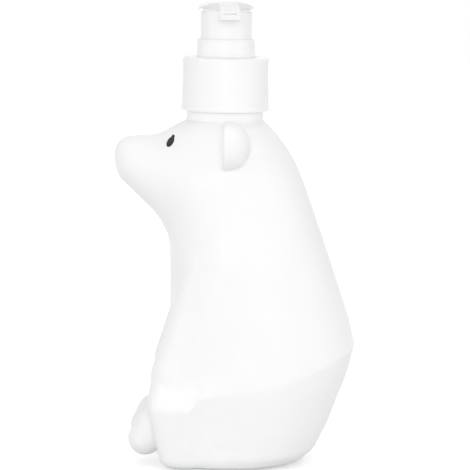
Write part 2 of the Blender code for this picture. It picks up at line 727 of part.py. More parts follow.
def eye(side, bottle_mesh):
    # a film that follows the cheek, cut to an oval with a lobe
    name = "eye_print_right" if side < 0 else "eye_print_left"
    tree = BVHTree.FromPolygons(
        [vertex.co[:] for vertex in bottle_mesh.vertices],
        [face.vertices[:] for face in bottle_mesh.polygons],
    )
    eye_height = SHOULDER_HEIGHT - EYE_DROP
    outline = []
    for i in range(SMALL_STEPS):
        turn = 2 * math.pi * i / SMALL_STEPS
        length, width = EYE_HALF_LENGTH * math.cos(turn), EYE_HALF_WIDTH * math.sin(turn)
        lobe = max(0, math.cos(turn)) ** EYE_LOBE_SHARPNESS
        length += EYE_LOBE_GROWTH * lobe
        width += EYE_LOBE_RADIUS * lobe * math.sin(2 * turn)
        y = EYE_Y + length * math.cos(EYE_TILT) - width * math.sin(EYE_TILT)
        z = eye_height + length * math.sin(EYE_TILT) + width * math.cos(EYE_TILT)
        outline.append((y, z))

    def on_cheek(y, z):
        start = Vector((side * 2 * HAUNCH_HALF_WIDTH, y, z))
        place, _, _, _ = tree.ray_cast(start, Vector((-side, 0, 0)))
        return place

    work = bmesh.new()
    layers = []
    for lift in (INK_GAP, INK_GAP + INK_THICKNESS):
        step = Vector((side * lift, 0, 0))
        middle = work.verts.new(on_cheek(EYE_Y, eye_height) + step)
        rim = [work.verts.new(on_cheek(y, z) + step) for y, z in outline]
        layers.append((middle, rim))
    (low, low_rim), (high, high_rim) = layers
    for i in range(SMALL_STEPS):
        j = (i + 1) % SMALL_STEPS
        work.faces.new((low, low_rim[j], low_rim[i]))
        work.faces.new((high, high_rim[i], high_rim[j]))
        work.faces.new((low_rim[i], low_rim[j], high_rim[j], high_rim[i]))
    bmesh.ops.recalc_face_normals(work, faces=work.faces)
    bmesh.ops.triangulate(work, faces=work.faces)
    mesh = bpy.data.meshes.new(name)
    work.to_mesh(mesh)
    work.free()
    return add_mesh(name, mesh, parts)


# Closure, cup, housing and gasket


def closure():
    foot_radius = CLOSURE_TOP_RADIUS + CLOSURE_FLARE
    hole = CUP_FOOT_RADIUS + PLATE_CLEARANCE
    profile = [(hole, CLOSURE_TOP)]
    for i in range(CORNER_STEPS + 1):
        turn = math.pi / 2 * i / CORNER_STEPS
        radius = CLOSURE_TOP_RADIUS - CLOSURE_CORNER * (1 - math.sin(turn))
        profile.append((radius, CLOSURE_TOP - CLOSURE_CORNER * (1 - math.cos(turn))))
    profile += [
        (foot_radius, CLOSURE_FOOT + CLOSURE_LIP),
        (foot_radius - CLOSURE_LIP, CLOSURE_FOOT),
        (CLOSURE_BORE_RADIUS + CLOSURE_LIP, CLOSURE_FOOT),
        (CLOSURE_BORE_RADIUS, CLOSURE_FOOT + CLOSURE_LIP),
        (CLOSURE_BORE_RADIUS, PLATE_BOTTOM),
        (hole, PLATE_BOTTOM),
    ]
    obj = turned("closure", profile, ROUND_STEPS, parts, closed=True)
    start = NECK_THREAD_START - THREAD_PITCH / 2
    boolean(obj, as_tool(thread("closure_thread", CLOSURE_THREAD_RADIUS, start, cutters)), "UNION")
    return obj


def lock_cup():
    guide_bore = STEM_RADIUS + GAP
    return turned("lock_cup", [
        (CUP_BORE_RADIUS + CUP_EDGE, CUP_TOP),
        (CUP_TOP_RADIUS - CUP_EDGE, CUP_TOP),
        (CUP_TOP_RADIUS, CUP_TOP - CUP_EDGE),
        (CUP_FOOT_RADIUS, CUP_FLANGE_TOP),
        (FLANGE_RADIUS, CUP_FLANGE_TOP),
        (FLANGE_RADIUS, CUP_FLANGE_BOTTOM),
        (CUP_STOP_RADIUS, CUP_FLANGE_BOTTOM),
        (CUP_STOP_RADIUS, CUP_STOP_FOOT),
        (guide_bore, CUP_STOP_FOOT),
        (guide_bore, CUP_GUIDE_TOP),
        (CUP_GUIDE_RADIUS, CUP_GUIDE_TOP),
        (CUP_GUIDE_RADIUS, CUP_FLANGE_TOP),
        (CUP_BORE_RADIUS, CUP_FLANGE_TOP),
        (CUP_BORE_RADIUS, CUP_TOP - CUP_EDGE),
    ], ROUND_STEPS, parts, closed=True)


def pump_housing():
    socket_radius = TUBE_RADIUS + GAP
    socket_outside = socket_radius + SOCKET_WALL
    chamber_outside = CHAMBER_RADIUS + CHAMBER_WALL
    floor = CYLINDER_FLOOR - HOUSING_FLOOR
    foot_height = SOCKET_TOP - SOCKET_DEPTH
    return turned("pump_housing", [
        (FLANGE_RADIUS, HOUSING_TOP),
        (FLANGE_RADIUS, HOUSING_FLANGE_BOTTOM),
        (HOUSING_RADIUS, HOUSING_FLANGE_BOTTOM),
        (HOUSING_RADIUS, CYLINDER_FLOOR),
        (HOUSING_RADIUS - HOUSING_FLOOR, floor),
        (chamber_outside + HOUSING_FLOOR, floor),
        (chamber_outside, floor - HOUSING_FLOOR),
        (chamber_outside, SEAT_BOTTOM),
        (socket_outside, SOCKET_TOP),
        (socket_outside, foot_height),
        (socket_radius, foot_height),
        (socket_radius, SOCKET_TOP),
        (SEAT_HOLE_RADIUS, SOCKET_TOP),
        (SEAT_HOLE_RADIUS, SEAT_BOTTOM),
        (CHAMBER_RADIUS, SEAT_TOP),
        (CHAMBER_RADIUS, CYLINDER_FLOOR),
        (CYLINDER_RADIUS, CYLINDER_FLOOR),
        (CYLINDER_RADIUS, HOUSING_TOP),
    ], ROUND_STEPS, parts, closed=True)


def gasket():
    inner = HOUSING_RADIUS + GAP
    return turned("gasket", [
        (FLANGE_RADIUS, GASKET_TOP),
        (FLANGE_RADIUS, GASKET_BOTTOM),
        (inner, GASKET_BOTTOM),
        (inner, GASKET_TOP),
    ], ROUND_STEPS, parts, closed=True)


# Inlet valve and dip tube


def ball_cage():
    outer = CYLINDER_RADIUS - GAP
    obj = turned("ball_cage", [
        (outer, CAGE_TOP),
        (outer, CAGE_BOTTOM),
        (CAGE_RING_BORE, CAGE_BOTTOM),
        (CAGE_RING_BORE, CAGE_TOP),
    ], SMALL_STEPS, parts, closed=True)
    # two crossed bars stop the ball and leave four ways past it
    bar_foot = BALL_HEIGHT + BALL_RADIUS + BALL_LIFT + GAP
    bar_top = CAGE_TOP - CAGE_RING_THICKNESS / 4
    reach = CHAMBER_RADIUS - GAP
    ring_reach = (CAGE_RING_BORE + outer) / 2
    half = CAGE_BAR_WIDTH / 2
    tie_half = half * TIE_BAR_SHARE
    ring_foot = CAGE_BOTTOM + CAGE_RING_THICKNESS / 4
    stop_top = CAGE_BOTTOM + CAGE_RING_THICKNESS / 2
    boxes = (
        ("stop_bar_x", (-reach, -half, bar_foot), (reach, half, stop_top)),
        ("stop_bar_y", (-half, -reach, bar_foot), (half, reach, stop_top)),
        ("tie_bar_x", (-ring_reach, -tie_half, ring_foot), (ring_reach, tie_half, bar_top)),
        ("tie_bar_y", (-tie_half, -ring_reach, ring_foot), (tie_half, ring_reach, bar_top)),
    )
    for name, low, high in boxes:
        boolean(obj, as_tool(box(name, low, high, cutters)), "UNION")
    return obj


def check_ball():
    work = bmesh.new()
    bmesh.ops.create_uvsphere(work, u_segments=BALL_STEPS, v_segments=BALL_STEPS // 2, radius=BALL_RADIUS)
    mesh = bpy.data.meshes.new("check_ball")
    work.to_mesh(mesh)
    work.free()
    smooth(mesh)
    return add_mesh("check_ball", mesh, parts, (0, PUMP_Y, BALL_HEIGHT))


def dip_tube():
    obj = turned("dip_tube", [
        (TUBE_RADIUS, TUBE_TOP),
        (TUBE_RADIUS, TUBE_FOOT),
        (TUBE_BORE, TUBE_FOOT),
        (TUBE_BORE, TUBE_TOP),
    ], SMALL_STEPS, parts, closed=True)
    # the foot is cut off on a slant, so that it draws when it stands on the floor
    half = 4 * TUBE_RADIUS
    knife = box("tube_cut", (-half, -half, -2 * half), (half, half, 0), cutters)
    knife.location = (0, PUMP_Y, TUBE_FOOT + TUBE_RADIUS * math.tan(TUBE_CUT_TILT))
    knife.rotation_euler = (TUBE_CUT_TILT, 0, 0)
    boolean(obj, as_tool(knife), "DIFFERENCE")
    return obj


# Plunger


def stem():
    obj = turned("stem", [
        (STEM_RADIUS, STEM_TOP),
        (STEM_RADIUS, STEM_FOOT),
        (STEM_BORE, STEM_FOOT),
        (STEM_BORE, STEM_TOP),
    ], SMALL_STEPS, parts, closed=True)
    reach = STEM_RADIUS + OVERRUN
    points = [(-reach, 0, PORT_HEIGHT), (reach, 0, PORT_HEIGHT)]
    boolean(obj, as_tool(mesh_from_tube("ports", points, PORT_RADIUS, 2, cutters)), "DIFFERENCE")
    return obj


def stem_plug():
    shank = STEM_BORE - GAP
    return turned("stem_plug", [
        (0, PLUG_TOP + PLUG_SHANK),
        (shank, PLUG_TOP + PLUG_SHANK),
        (shank, PLUG_TOP),
        (PLUG_FLANGE_RADIUS, PLUG_TOP),
        (PLUG_FLANGE_RADIUS, PLUG_BOTTOM),
        (0, PLUG_BOTTOM),
    ], SMALL_STEPS, parts)


def piston():
    outer = CYLINDER_RADIUS - GAP
    waist = outer - PISTON_WAIST
    return turned("piston", [
        (outer, PISTON_TOP),
        (outer, PISTON_TOP - PISTON_LIP),
        (waist, PISTON_TOP - PISTON_LIP - PISTON_WAIST),
        (waist, PISTON_FOOT + PISTON_LIP + PISTON_WAIST),
        (outer, PISTON_FOOT + PISTON_LIP),
        (outer, PISTON_FOOT),
        (STEM_RADIUS + GAP, PISTON_FOOT),
        (STEM_RADIUS + GAP, PISTON_TOP),
    ], ROUND_STEPS, parts, closed=True)


def return_spring():
    count = SPRING_TURNS * SPRING_TURN_POINTS
    low, high = SPRING_FOOT + SPRING_WIRE_RADIUS, SPRING_TOP - SPRING_WIRE_RADIUS
    points = []
    for i in range(count + 1):
        turn = 2 * math.pi * i / SPRING_TURN_POINTS
        height = low + (high - low) * i / count
        points.append((
            SPRING_MEAN_RADIUS * math.cos(turn), SPRING_MEAN_RADIUS * math.sin(turn), height,
        ))
    return mesh_from_tube("return_spring", points, SPRING_WIRE_RADIUS, 1, parts)


# Actuator


def saddle():
    # a thumb rest: it rises to front and back, arches down to both sides, and thickens over the
    # core
    def top_height(x, y):
        end_rise = SADDLE_FRONT_RISE if x > 0 else SADDLE_BACK_RISE
        rise = end_rise * (x / SADDLE_HALF_LENGTH) ** 2
        arch = math.sqrt(max(1 - (y / SADDLE_HALF_WIDTH) ** 2, 0))
        return SADDLE_MIDDLE + rise - SADDLE_DROP * (1 - arch)

    power = 2 / SADDLE_SQUARENESS
    work = bmesh.new()

    def ring(share, underside):
        verts = []
        for i in range(ROUND_STEPS):
            turn = 2 * math.pi * i / ROUND_STEPS
            c, s = math.cos(turn), math.sin(turn)
            x = SADDLE_HALF_LENGTH * share * math.copysign(abs(c) ** power, c)
            y = SADDLE_HALF_WIDTH * share * math.copysign(abs(s) ** power, s)
            z = top_height(x, y)
            if underside:
                z -= SADDLE_RIM + SADDLE_ROOT * (1 - share**2) ** 2
            if share == SADDLE_RING_SHARES[-1]:
                z += SADDLE_EDGE if underside else -SADDLE_EDGE
            verts.append(work.verts.new((x, y, z)))
        return verts

    rings = [ring(share, False) for share in SADDLE_RING_SHARES]
    rings += [ring(share, True) for share in reversed(SADDLE_RING_SHARES)]
    for inner, outer in zip(rings, rings[1:]):
        for i in range(ROUND_STEPS):
            j = (i + 1) % ROUND_STEPS
            work.faces.new((inner[i], outer[i], outer[j], inner[j]))
    crown = work.verts.new((0, 0, SADDLE_MIDDLE))
    root = work.verts.new((0, 0, SADDLE_MIDDLE - SADDLE_RIM - SADDLE_ROOT))
    for i in range(ROUND_STEPS):
        j = (i + 1) % ROUND_STEPS
        work.faces.new((crown, rings[0][i], rings[0][j]))
        work.faces.new((root, rings[-1][j], rings[-1][i]))
    bmesh.ops.recalc_face_normals(work, faces=work.faces)
    bmesh.ops.triangulate(work, faces=work.faces)
    mesh = bpy.data.meshes.new("saddle")
    work.to_mesh(mesh)
    work.free()
    return add_mesh("saddle", mesh, cutters, (0, PUMP_Y, 0))


def nozzle():
    # a spout that narrows downwards to its tip
    root = (BOSS_RADIUS + CORE_RADIUS) / 2
    obj = box("nozzle", (root, -NOZZLE_WIDTH / 2, NOZZLE_ROOT_BOTTOM),
              (NOZZLE_REACH, NOZZLE_WIDTH / 2, NOZZLE_ROOT_TOP), cutters)
    middle = (NOZZLE_ROOT_TOP + NOZZLE_ROOT_BOTTOM) / 2
    for vertex in obj.data.vertices:
        if vertex.co.x > root:
            vertex.co.z = NOZZLE_TIP_TOP if vertex.co.z > middle else NOZZLE_TIP_BOTTOM
    bevel = obj.modifiers.new("rounding", "BEVEL")
    bevel.width = NOZZLE_ROUNDING
    bevel.segments = 2
    bevel.limit_method = "NONE"
    return obj


def mouth():
    # the flow channel, from over the stem down to the tip
    tip_top = NOZZLE_TIP_TOP - MOUTH_DROP
    obj = box("mouth", (0, -MOUTH_WIDTH / 2, tip_top - MOUTH_HEIGHT),
              (NOZZLE_REACH + OVERRUN, MOUTH_WIDTH / 2, tip_top), cutters)
    for vertex in obj.data.vertices:
        if vertex.co.x < NOZZLE_REACH:
            vertex.co.z += CHANNEL_RISE
    bevel = obj.modifiers.new("rounding", "BEVEL")
    bevel.width = MOUTH_ROUNDING
    bevel.segments = 2
    bevel.limit_method = "NONE"
    return obj


def actuator():
    inner = SKIRT_RADIUS - SKIRT_WALL
    socket = STEM_RADIUS + GAP
    obj = turned("actuator", [
        (0, CORE_TOP),
        (CORE_RADIUS, CORE_TOP),
        (CORE_RADIUS, SKIRT_TOP),
        (SKIRT_RADIUS - SKIRT_EDGE, SKIRT_TOP),
        (SKIRT_RADIUS, SKIRT_TOP - SKIRT_EDGE),
        (SKIRT_RADIUS, SKIRT_FOOT),
        (inner, SKIRT_FOOT),
        (inner, SKIRT_TOP - SKIRT_ROOF),
        (BOSS_RADIUS, SKIRT_TOP - SKIRT_ROOF),
        (BOSS_RADIUS, BOSS_FOOT),
        (socket, BOSS_FOOT),
        (socket, STEM_TOP + GAP),
        (STEM_BORE, STEM_TOP + GAP),
        (STEM_BORE, CHANNEL_TOP),
        (0, CHANNEL_TOP),
    ], ROUND_STEPS, parts)
    tools = ((saddle(), "UNION"), (nozzle(), "UNION"), (mouth(), "DIFFERENCE"))
    for tool, operation in tools:
        tool.rotation_euler = (0, 0, NOZZLE_TURN)
        boolean(obj, as_tool(tool), operation)
    return obj


# Assembly

white = plastic("white_bottle_plastic", (0.90, 0.90, 0.89), 0.42)
pump_white = plastic("white_pump_plastic", (0.91, 0.91, 0.905), 0.34)
natural = plastic("natural_plastic", (0.82, 0.83, 0.82), 0.40)
ink = plastic("dark_eye_ink", (0.035, 0.035, 0.04), 0.45)
liner = plastic("liner_foam", (0.86, 0.86, 0.84), 0.70)
steel = plastic("spring_steel", (0.62, 0.62, 0.63), 0.25, 1.0)

bear = bottle()
bear_mesh = evaluated_mesh(bear)
finished = (
    (bear, white),
    (eye(1, bear_mesh), ink),
    (eye(-1, bear_mesh), ink),
    (closure(), pump_white),
    (lock_cup(), pump_white),
    (actuator(), pump_white),
    (gasket(), liner),
    (pump_housing(), natural),
    (ball_cage(), natural),
    (check_ball(), steel),
    (dip_tube(), natural),
    (stem(), natural),
    (stem_plug(), natural),
    (piston(), natural),
    (return_spring(), steel),
)
for piece, finish in finished:
    piece.data.materials.append(finish)
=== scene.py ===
import math

import bpy
import numpy as np
from mathutils import Matrix, Vector
from mathutils.bvhtree import BVHTree


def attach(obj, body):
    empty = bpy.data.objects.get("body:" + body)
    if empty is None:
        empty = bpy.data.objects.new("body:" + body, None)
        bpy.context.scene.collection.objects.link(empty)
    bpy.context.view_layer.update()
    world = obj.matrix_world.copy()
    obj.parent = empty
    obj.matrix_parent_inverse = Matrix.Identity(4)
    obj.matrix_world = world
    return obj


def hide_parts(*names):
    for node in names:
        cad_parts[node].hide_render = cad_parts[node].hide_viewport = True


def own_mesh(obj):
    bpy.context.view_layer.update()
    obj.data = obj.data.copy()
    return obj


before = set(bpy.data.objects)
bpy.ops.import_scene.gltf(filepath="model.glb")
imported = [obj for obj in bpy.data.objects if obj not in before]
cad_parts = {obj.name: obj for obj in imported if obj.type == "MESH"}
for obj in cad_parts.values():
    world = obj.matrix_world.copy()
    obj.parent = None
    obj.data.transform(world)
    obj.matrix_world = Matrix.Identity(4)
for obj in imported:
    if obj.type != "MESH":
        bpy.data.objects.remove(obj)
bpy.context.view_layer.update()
print("frame loaded:", len(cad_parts), "nodes")

mm = 0.001  # sizes below are in millimetres
tiny = 1e-9  # keeps divisions off zero
pumpLine = -4.7  # the neck and the pump stand at this y
sharpAngle = 32  # in degrees, where turned pieces start to show an edge
# How a skin settles on its field: steps and slides are shares of a grid cell.
settling = {
    "rounds": 4, "slopeStep": 0.05, "normalStep": 0.12, "longestSlide": 0.6,
    "leastSteepness": 0.05,
}


# Meshes


def linkMesh(name, points, faces, normals=None, sharpFrom=None):
    mesh = bpy.data.meshes.new(name)
    mesh.from_pydata((np.asarray(points, float) * mm).tolist(), [], faces)
    mesh.validate()
    mesh.shade_smooth()
    if sharpFrom:
        mesh.set_sharp_from_angle(angle=math.radians(sharpFrom))
    if normals is not None:
        mesh.normals_split_custom_set_from_vertices(normals.tolist())
    piece = bpy.data.objects.new(name, mesh)
    bpy.context.scene.collection.objects.link(piece)
    return piece


def slopes(field, points, step):
    # the field's gradient at each point
    gradient = np.empty_like(points)
    for axis in range(3):
        aside = np.zeros(3)
        aside[axis] = step
        ahead, behind = points + aside, points - aside
        gradient[:, axis] = (field(*ahead.T) - field(*behind.T)) / (2 * step)
    return gradient


def skinOf(field, low, high, cell):
    # One vertex in every grid cell that the surface crosses, one face over every crossed grid
    # edge, and then each vertex slides on to the surface itself.
    axes = [np.arange(low[i], high[i] + cell, cell) for i in range(3)]
    values = field(*np.meshgrid(*axes, indexing="ij"))
    inside = values < 0
    counts = np.array(values.shape)
    corners = [(i, j, k) for i in (0, 1) for j in (0, 1) for k in (0, 1)]

    def cornerView(array, corner):
        return array[tuple(slice(c, n - 1 + c) for c, n in zip(corner, counts))]

    filled = sum(cornerView(inside, corner).astype(np.int8) for corner in corners)
    crossed = (filled > 0) & (filled < len(corners))
    cells = np.argwhere(crossed)
    number = np.full(crossed.shape, -1)
    number[crossed] = np.arange(len(cells))

    total, hits = np.zeros((len(cells), 3)), np.zeros(len(cells))
    for corner in corners:
        for axis in range(3):
            if corner[axis]:
                continue
            other = list(corner)
            other[axis] = 1
            a = values[tuple((cells + corner).T)]
            b = values[tuple((cells + other).T)]
            change = (a < 0) != (b < 0)
            share = np.where(change, a / np.where(change, a - b, 1), 0)
            place = cells + np.array(corner, float)
            place[:, axis] += share
            total += place * change[:, None]
            hits += change
    points = total / hits[:, None] * cell + np.array([axis[0] for axis in axes])

    faces = []
    for axis in range(3):
        ends = [slice(None)] * 3
        starts = [slice(None)] * 3
        starts[axis], ends[axis] = slice(0, -1), slice(1, None)
        edges = np.argwhere(inside[tuple(starts)] != inside[tuple(ends)])
        leaving = inside[tuple(starts)][tuple(edges.T)]
        one, two = (axis + 1) % 3, (axis + 2) % 3
        quad = []
        for back in ((1, 1), (0, 1), (0, 0), (1, 0)):
            around = edges.copy()
            around[:, one] -= back[0]
            around[:, two] -= back[1]
            quad.append(number[tuple(around.T)])
        quad = np.stack(quad, axis=1)
        quad[~leaving] = quad[~leaving][:, ::-1]
        faces.append(quad)
    faces = np.concatenate(faces)

    longest = cell * settling["longestSlide"]
    for _ in range(settling["rounds"]):
        value = field(*points.T)
        gradient = slopes(field, points, cell * settling["slopeStep"])
        steep = np.maximum((gradient**2).sum(axis=1), settling["leastSteepness"])
        shift = -gradient * (value / steep)[:, None]
        reach = np.linalg.norm(shift, axis=1)
        shift *= np.minimum(1, longest / np.maximum(reach, tiny))[:, None]
        points = points + shift
    normals = slopes(field, points, cell * settling["normalStep"])
    normals /= np.maximum(np.linalg.norm(normals, axis=1), tiny)[:, None]
    return points, faces.tolist(), normals


def rounded(corners, steps=5):
    # a closed outline of (radius, height, rounding) with each corner turned into an arc
    flatFrom = 1.55  # half the corner's angle, in radians, from which it stays a point
    longestShare = 0.48  # of a side that one arc may take
    outline = []
    count = len(corners)
    for i in range(count):
        before, here, after = (np.array(corners[(i + n) % count][:2], float) for n in (-1, 0, 1))
        size = corners[i][2]
        back, ahead = before - here, after - here
        longBack, longAhead = np.linalg.norm(back), np.linalg.norm(ahead)
        back, ahead = back / longBack, ahead / longAhead
        half = math.acos(max(-1, min(1, float(back @ ahead)))) / 2
        if size == 0 or half > flatFrom:
            outline.append(here)
            continue
        inset = min(size / math.tan(half), longestShare * longBack, longestShare * longAhead)
        size = inset * math.tan(half)
        middle = here + (back + ahead) / np.linalg.norm(back + ahead) * size / math.sin(half)
        first, last = here + back * inset - middle, here + ahead * inset - middle
        sweep = math.pi - 2 * half
        for step in range(steps + 1):
            share = step / steps
            arc = first * math.sin((1 - share) * sweep) + last * math.sin(share * sweep)
            outline.append(middle + arc / math.sin(sweep))
    return [tuple(point) for point in outline]


def turnedMesh(outline, steps):
    # a closed outline of (radius, height) turned round the pump's line
    count = len(outline)
    points, faces = [], []
    for i in range(steps):
        turn = 2 * math.pi * i / steps
        c, s = math.cos(turn), math.sin(turn)
        points += [(r * c, pumpLine + r * s, z) for r, z in outline]
    for i in range(steps):
        here, ahead = i * count, (i + 1) % steps * count
        for j in range(count):
            k = (j + 1) % count
            faces.append((here + j, ahead + j, ahead + k, here + k))
    return points, faces


def beadMesh(path, radius, sides, start):
    # a round bar along a path, with a radius at each point; its points number on from start
    path = np.asarray(path, float)
    along = np.gradient(path, axis=0)
    along /= np.linalg.norm(along, axis=1)[:, None]
    outward = path * (1, 1, 0) - np.array([0, pumpLine, 0])
    outward -= along * (outward * along).sum(axis=1)[:, None]
    outward /= np.linalg.norm(outward, axis=1)[:, None]
    upward = np.cross(along, outward)
    points, faces = [], []
    count = len(path)
    for i in range(count):
        for j in range(sides):
            turn = 2 * math.pi * j / sides
            ray = outward[i] * math.cos(turn) + upward[i] * math.sin(turn)
            points.append(tuple(path[i] + ray * radius[i]))
    for i in range(count - 1):
        for j in range(sides):
            k = (j + 1) % sides
            a, b = start + i * sides, start + (i + 1) * sides
            faces.append((a + j, a + k, b + k, b + j))
    faces.append(tuple(start + j for j in range(sides))[::-1])
    faces.append(tuple(start + (count - 1) * sides + j for j in range(sides)))
    return points, faces


# Shader maths


class Wire:
    # an output socket of a node; arithmetic on it adds Math nodes
    def __init__(self, paint, socket):
        self.paint, self.socket = paint, socket

    def math(self, operation, *others):
        sockets = dict(enumerate((self, *others)))
        return self.paint.node("ShaderNodeMath", {"operation": operation}, sockets)

    def __add__(self, other):
        return self.math("ADD", other)

    def __sub__(self, other):
        return self.math("SUBTRACT", other)

    def __rsub__(self, other):
        return self.math("MULTIPLY_ADD", -1.0, other)

    def __mul__(self, other):
        return self.math("MULTIPLY", other)

    def __pow__(self, other):
        return self.math("POWER", other)

    def __abs__(self):
        return self.math("ABSOLUTE")

    __radd__ = __add__

    def spread(self, width):
        # a noise turned into plus and minus half the width
        return (self - 0.5) * width

    def between(self, low, high):
        # 0 below low, 1 above high, smooth in between
        settings = {"interpolation_type": "SMOOTHSTEP"}
        sockets = {"Value": self, "From Min": low, "From Max": high}
        return self.paint.node("ShaderNodeMapRange", settings, sockets)


class Paint:
    # a material and the nodes that feed its Principled shader
    def __init__(self, name, **fixed):
        self.material = bpy.data.materials.new(name)
        self.material.use_nodes = True
        self.tree = self.material.node_tree
        self.surface = self.tree.nodes["Principled BSDF"]
        for socket, value in fixed.items():
            self.surface.inputs[socket.replace("_", " ")].default_value = value
        self.place = Wire(self, self.tree.nodes.new("ShaderNodeTexCoord").outputs["Object"])

    def feed(self, socket, value):
        if isinstance(value, Wire):
            self.tree.links.new(value.socket, socket)
        else:
            socket.default_value = value

    def node(self, kind, settings, sockets, out=0):
        node = self.tree.nodes.new(kind)
        for key, value in settings.items():
            setattr(node, key, value)
        for key, value in sockets.items():
            self.feed(node.inputs[key], value)
        return Wire(self, node.outputs[out])

    def noise(self, scale, detail, roughness=0.5, stretch=(1, 1, 1)):
        settings, sockets = {"operation": "MULTIPLY"}, {0: self.place, 1: stretch}
        place = self.node("ShaderNodeVectorMath", settings, sockets)
        sockets = {"Vector": place, "Scale": scale, "Detail": detail, "Roughness": roughness}
        return self.node("ShaderNodeTexNoise", {}, sockets)

    def axes(self):
        split = self.tree.nodes.new("ShaderNodeSeparateXYZ")
        self.feed(split.inputs[0], self.place)
        return [Wire(self, output) for output in split.outputs]

    def tint(self, mask, dark, light):
        settings = {"data_type": "RGBA"}
        sockets = {0: mask, 6: (*dark, 1), 7: (*light, 1)}
        return self.node("ShaderNodeMix", settings, sockets, out=2)

    def finish(self, colour, roughness=None, height=None, depth=None):
        self.feed(self.surface.inputs["Base Color"], colour)
        if roughness is not None:
            self.feed(self.surface.inputs["Roughness"], roughness)
        if height is not None:
            sockets = {"Height": height, "Distance": depth, "Strength": 1.0}
            bump = self.node("ShaderNodeBump", {}, sockets)
            self.feed(self.surface.inputs["Normal"], bump)
        return self.material


# Materials. A look gives its noises as scale, detail, roughness and stretch.


def bottlePlastic():
    # satin blow-moulded polyethylene: cloudy white, fine pebble, a parting line down the middle
    look = {
        "dark": (0.900, 0.900, 0.900), "light": (0.940, 0.940, 0.939), "specular": 0.12,
        "cloud": (60, 3), "cloudShare": 0.7, "cloudRoughness": 0.08,
        "grain": (420, 3, 0.6), "grainShare": 0.3, "grainRoughness": 0.10, "grainHeight": 0.16,
        "pebble": (2600, 2), "pebbleHeight": 0.10, "roughness": 0.40, "depth": 0.00006,
        "seamHalfWidth": 0.00022, "seamFlatShare": 0.3, "seamHeight": 0.5,
    }
    paint = Paint("bottlePlastic", Specular_IOR_Level=look["specular"])
    across, _, _ = paint.axes()
    cloud, pebble, grain = (paint.noise(*look[name]) for name in ("cloud", "pebble", "grain"))
    seamEdge = look["seamHalfWidth"]
    seam = 1 - abs(across).between(seamEdge * look["seamFlatShare"], seamEdge)
    mask = cloud * look["cloudShare"] + grain * look["grainShare"]
    colour = paint.tint(mask, look["dark"], look["light"])
    roughness = look["roughness"] + grain.spread(look["grainRoughness"])
    roughness = roughness + cloud.spread(look["cloudRoughness"])
    height = pebble * look["pebbleHeight"] + grain * look["grainHeight"]
    return paint.finish(colour, roughness, height + seam * look["seamHeight"], look["depth"])


def pumpPlastic():
    # injection-moulded polypropylene: smoother, with faint flow lines from top to bottom
    look = {
        "dark": (0.890, 0.890, 0.891), "light": (0.935, 0.935, 0.936), "specular": 0.15,
        "flow": (300, 2, 0.5, (1, 1, 0.08)), "flowShare": 0.6, "flowHeight": 0.35,
        "rubbed": (90, 4, 0.65), "rubbedShare": 0.4, "rubbedRoughness": 0.12,
        "grain": (900, 2), "grainRoughness": 0.05, "grainHeight": 0.2,
        "roughness": 0.30, "depth": 0.00004,
    }
    paint = Paint("pumpPlastic", Specular_IOR_Level=look["specular"])
    flow, grain, rubbed = (paint.noise(*look[name]) for name in ("flow", "grain", "rubbed"))
    mask = flow * look["flowShare"] + rubbed * look["rubbedShare"]
    colour = paint.tint(mask, look["dark"], look["light"])
    roughness = look["roughness"] + rubbed.spread(look["rubbedRoughness"])
    roughness = roughness + grain.spread(look["grainRoughness"])
    height = flow * look["flowHeight"] + grain * look["grainHeight"]
    return paint.finish(colour, roughness, height, look["depth"])


def naturalPlastic():
    # uncoloured plastic of the inner parts, slightly milky
    look = {
        "dark": (0.74, 0.76, 0.75), "light": (0.84, 0.85, 0.83), "specular": 0.5,
        "milk": (140, 3), "milkRoughness": 0.14, "grain": (1100, 2), "grainHeight": 0.3,
        "roughness": 0.34, "depth": 0.00004,
    }
    paint = Paint("naturalPlastic", Specular_IOR_Level=look["specular"])
    milk, grain = paint.noise(*look["milk"]), paint.noise(*look["grain"])
    colour = paint.tint(milk, look["dark"], look["light"])
    roughness = look["roughness"] + milk.spread(look["milkRoughness"])
    return paint.finish(colour, roughness, grain * look["grainHeight"], look["depth"])


def linerFoam():
    # closed-cell foam of the liner
    look = {
        "dark": (0.78, 0.78, 0.75), "light": (0.88, 0.88, 0.85), "cellScale": 2600.0,
        "mottled": (500, 3), "mottledRoughness": 0.15, "roughness": 0.72, "depth": 0.00008,
    }
    paint = Paint("linerFoam")
    sockets = {"Vector": paint.place, "Scale": look["cellScale"]}
    cellWall = paint.node("ShaderNodeTexVoronoi", {}, sockets)
    mottled = paint.noise(*look["mottled"])
    colour = paint.tint(mottled, look["dark"], look["light"])
    roughness = look["roughness"] + mottled.spread(look["mottledRoughness"])
    return paint.finish(colour, roughness, cellWall, look["depth"])


def drawnSteel():
    # stainless steel with draw marks
    look = {
        "dark": (0.56, 0.57, 0.58), "light": (0.68, 0.68, 0.69), "stain": (200, 2),
        "marks": (1500, 3, 0.6, (1, 1, 0.3)), "marksRoughness": 0.16,
        "roughness": 0.22, "depth": 0.00003,
    }
    paint = Paint("drawnSteel", Metallic=1.0)
    marks, stain = paint.noise(*look["marks"]), paint.noise(*look["stain"])
    colour = paint.tint(stain, look["dark"], look["light"])
    roughness = look["roughness"] + marks * look["marksRoughness"]
    return paint.finish(colour, roughness, marks, look["depth"])


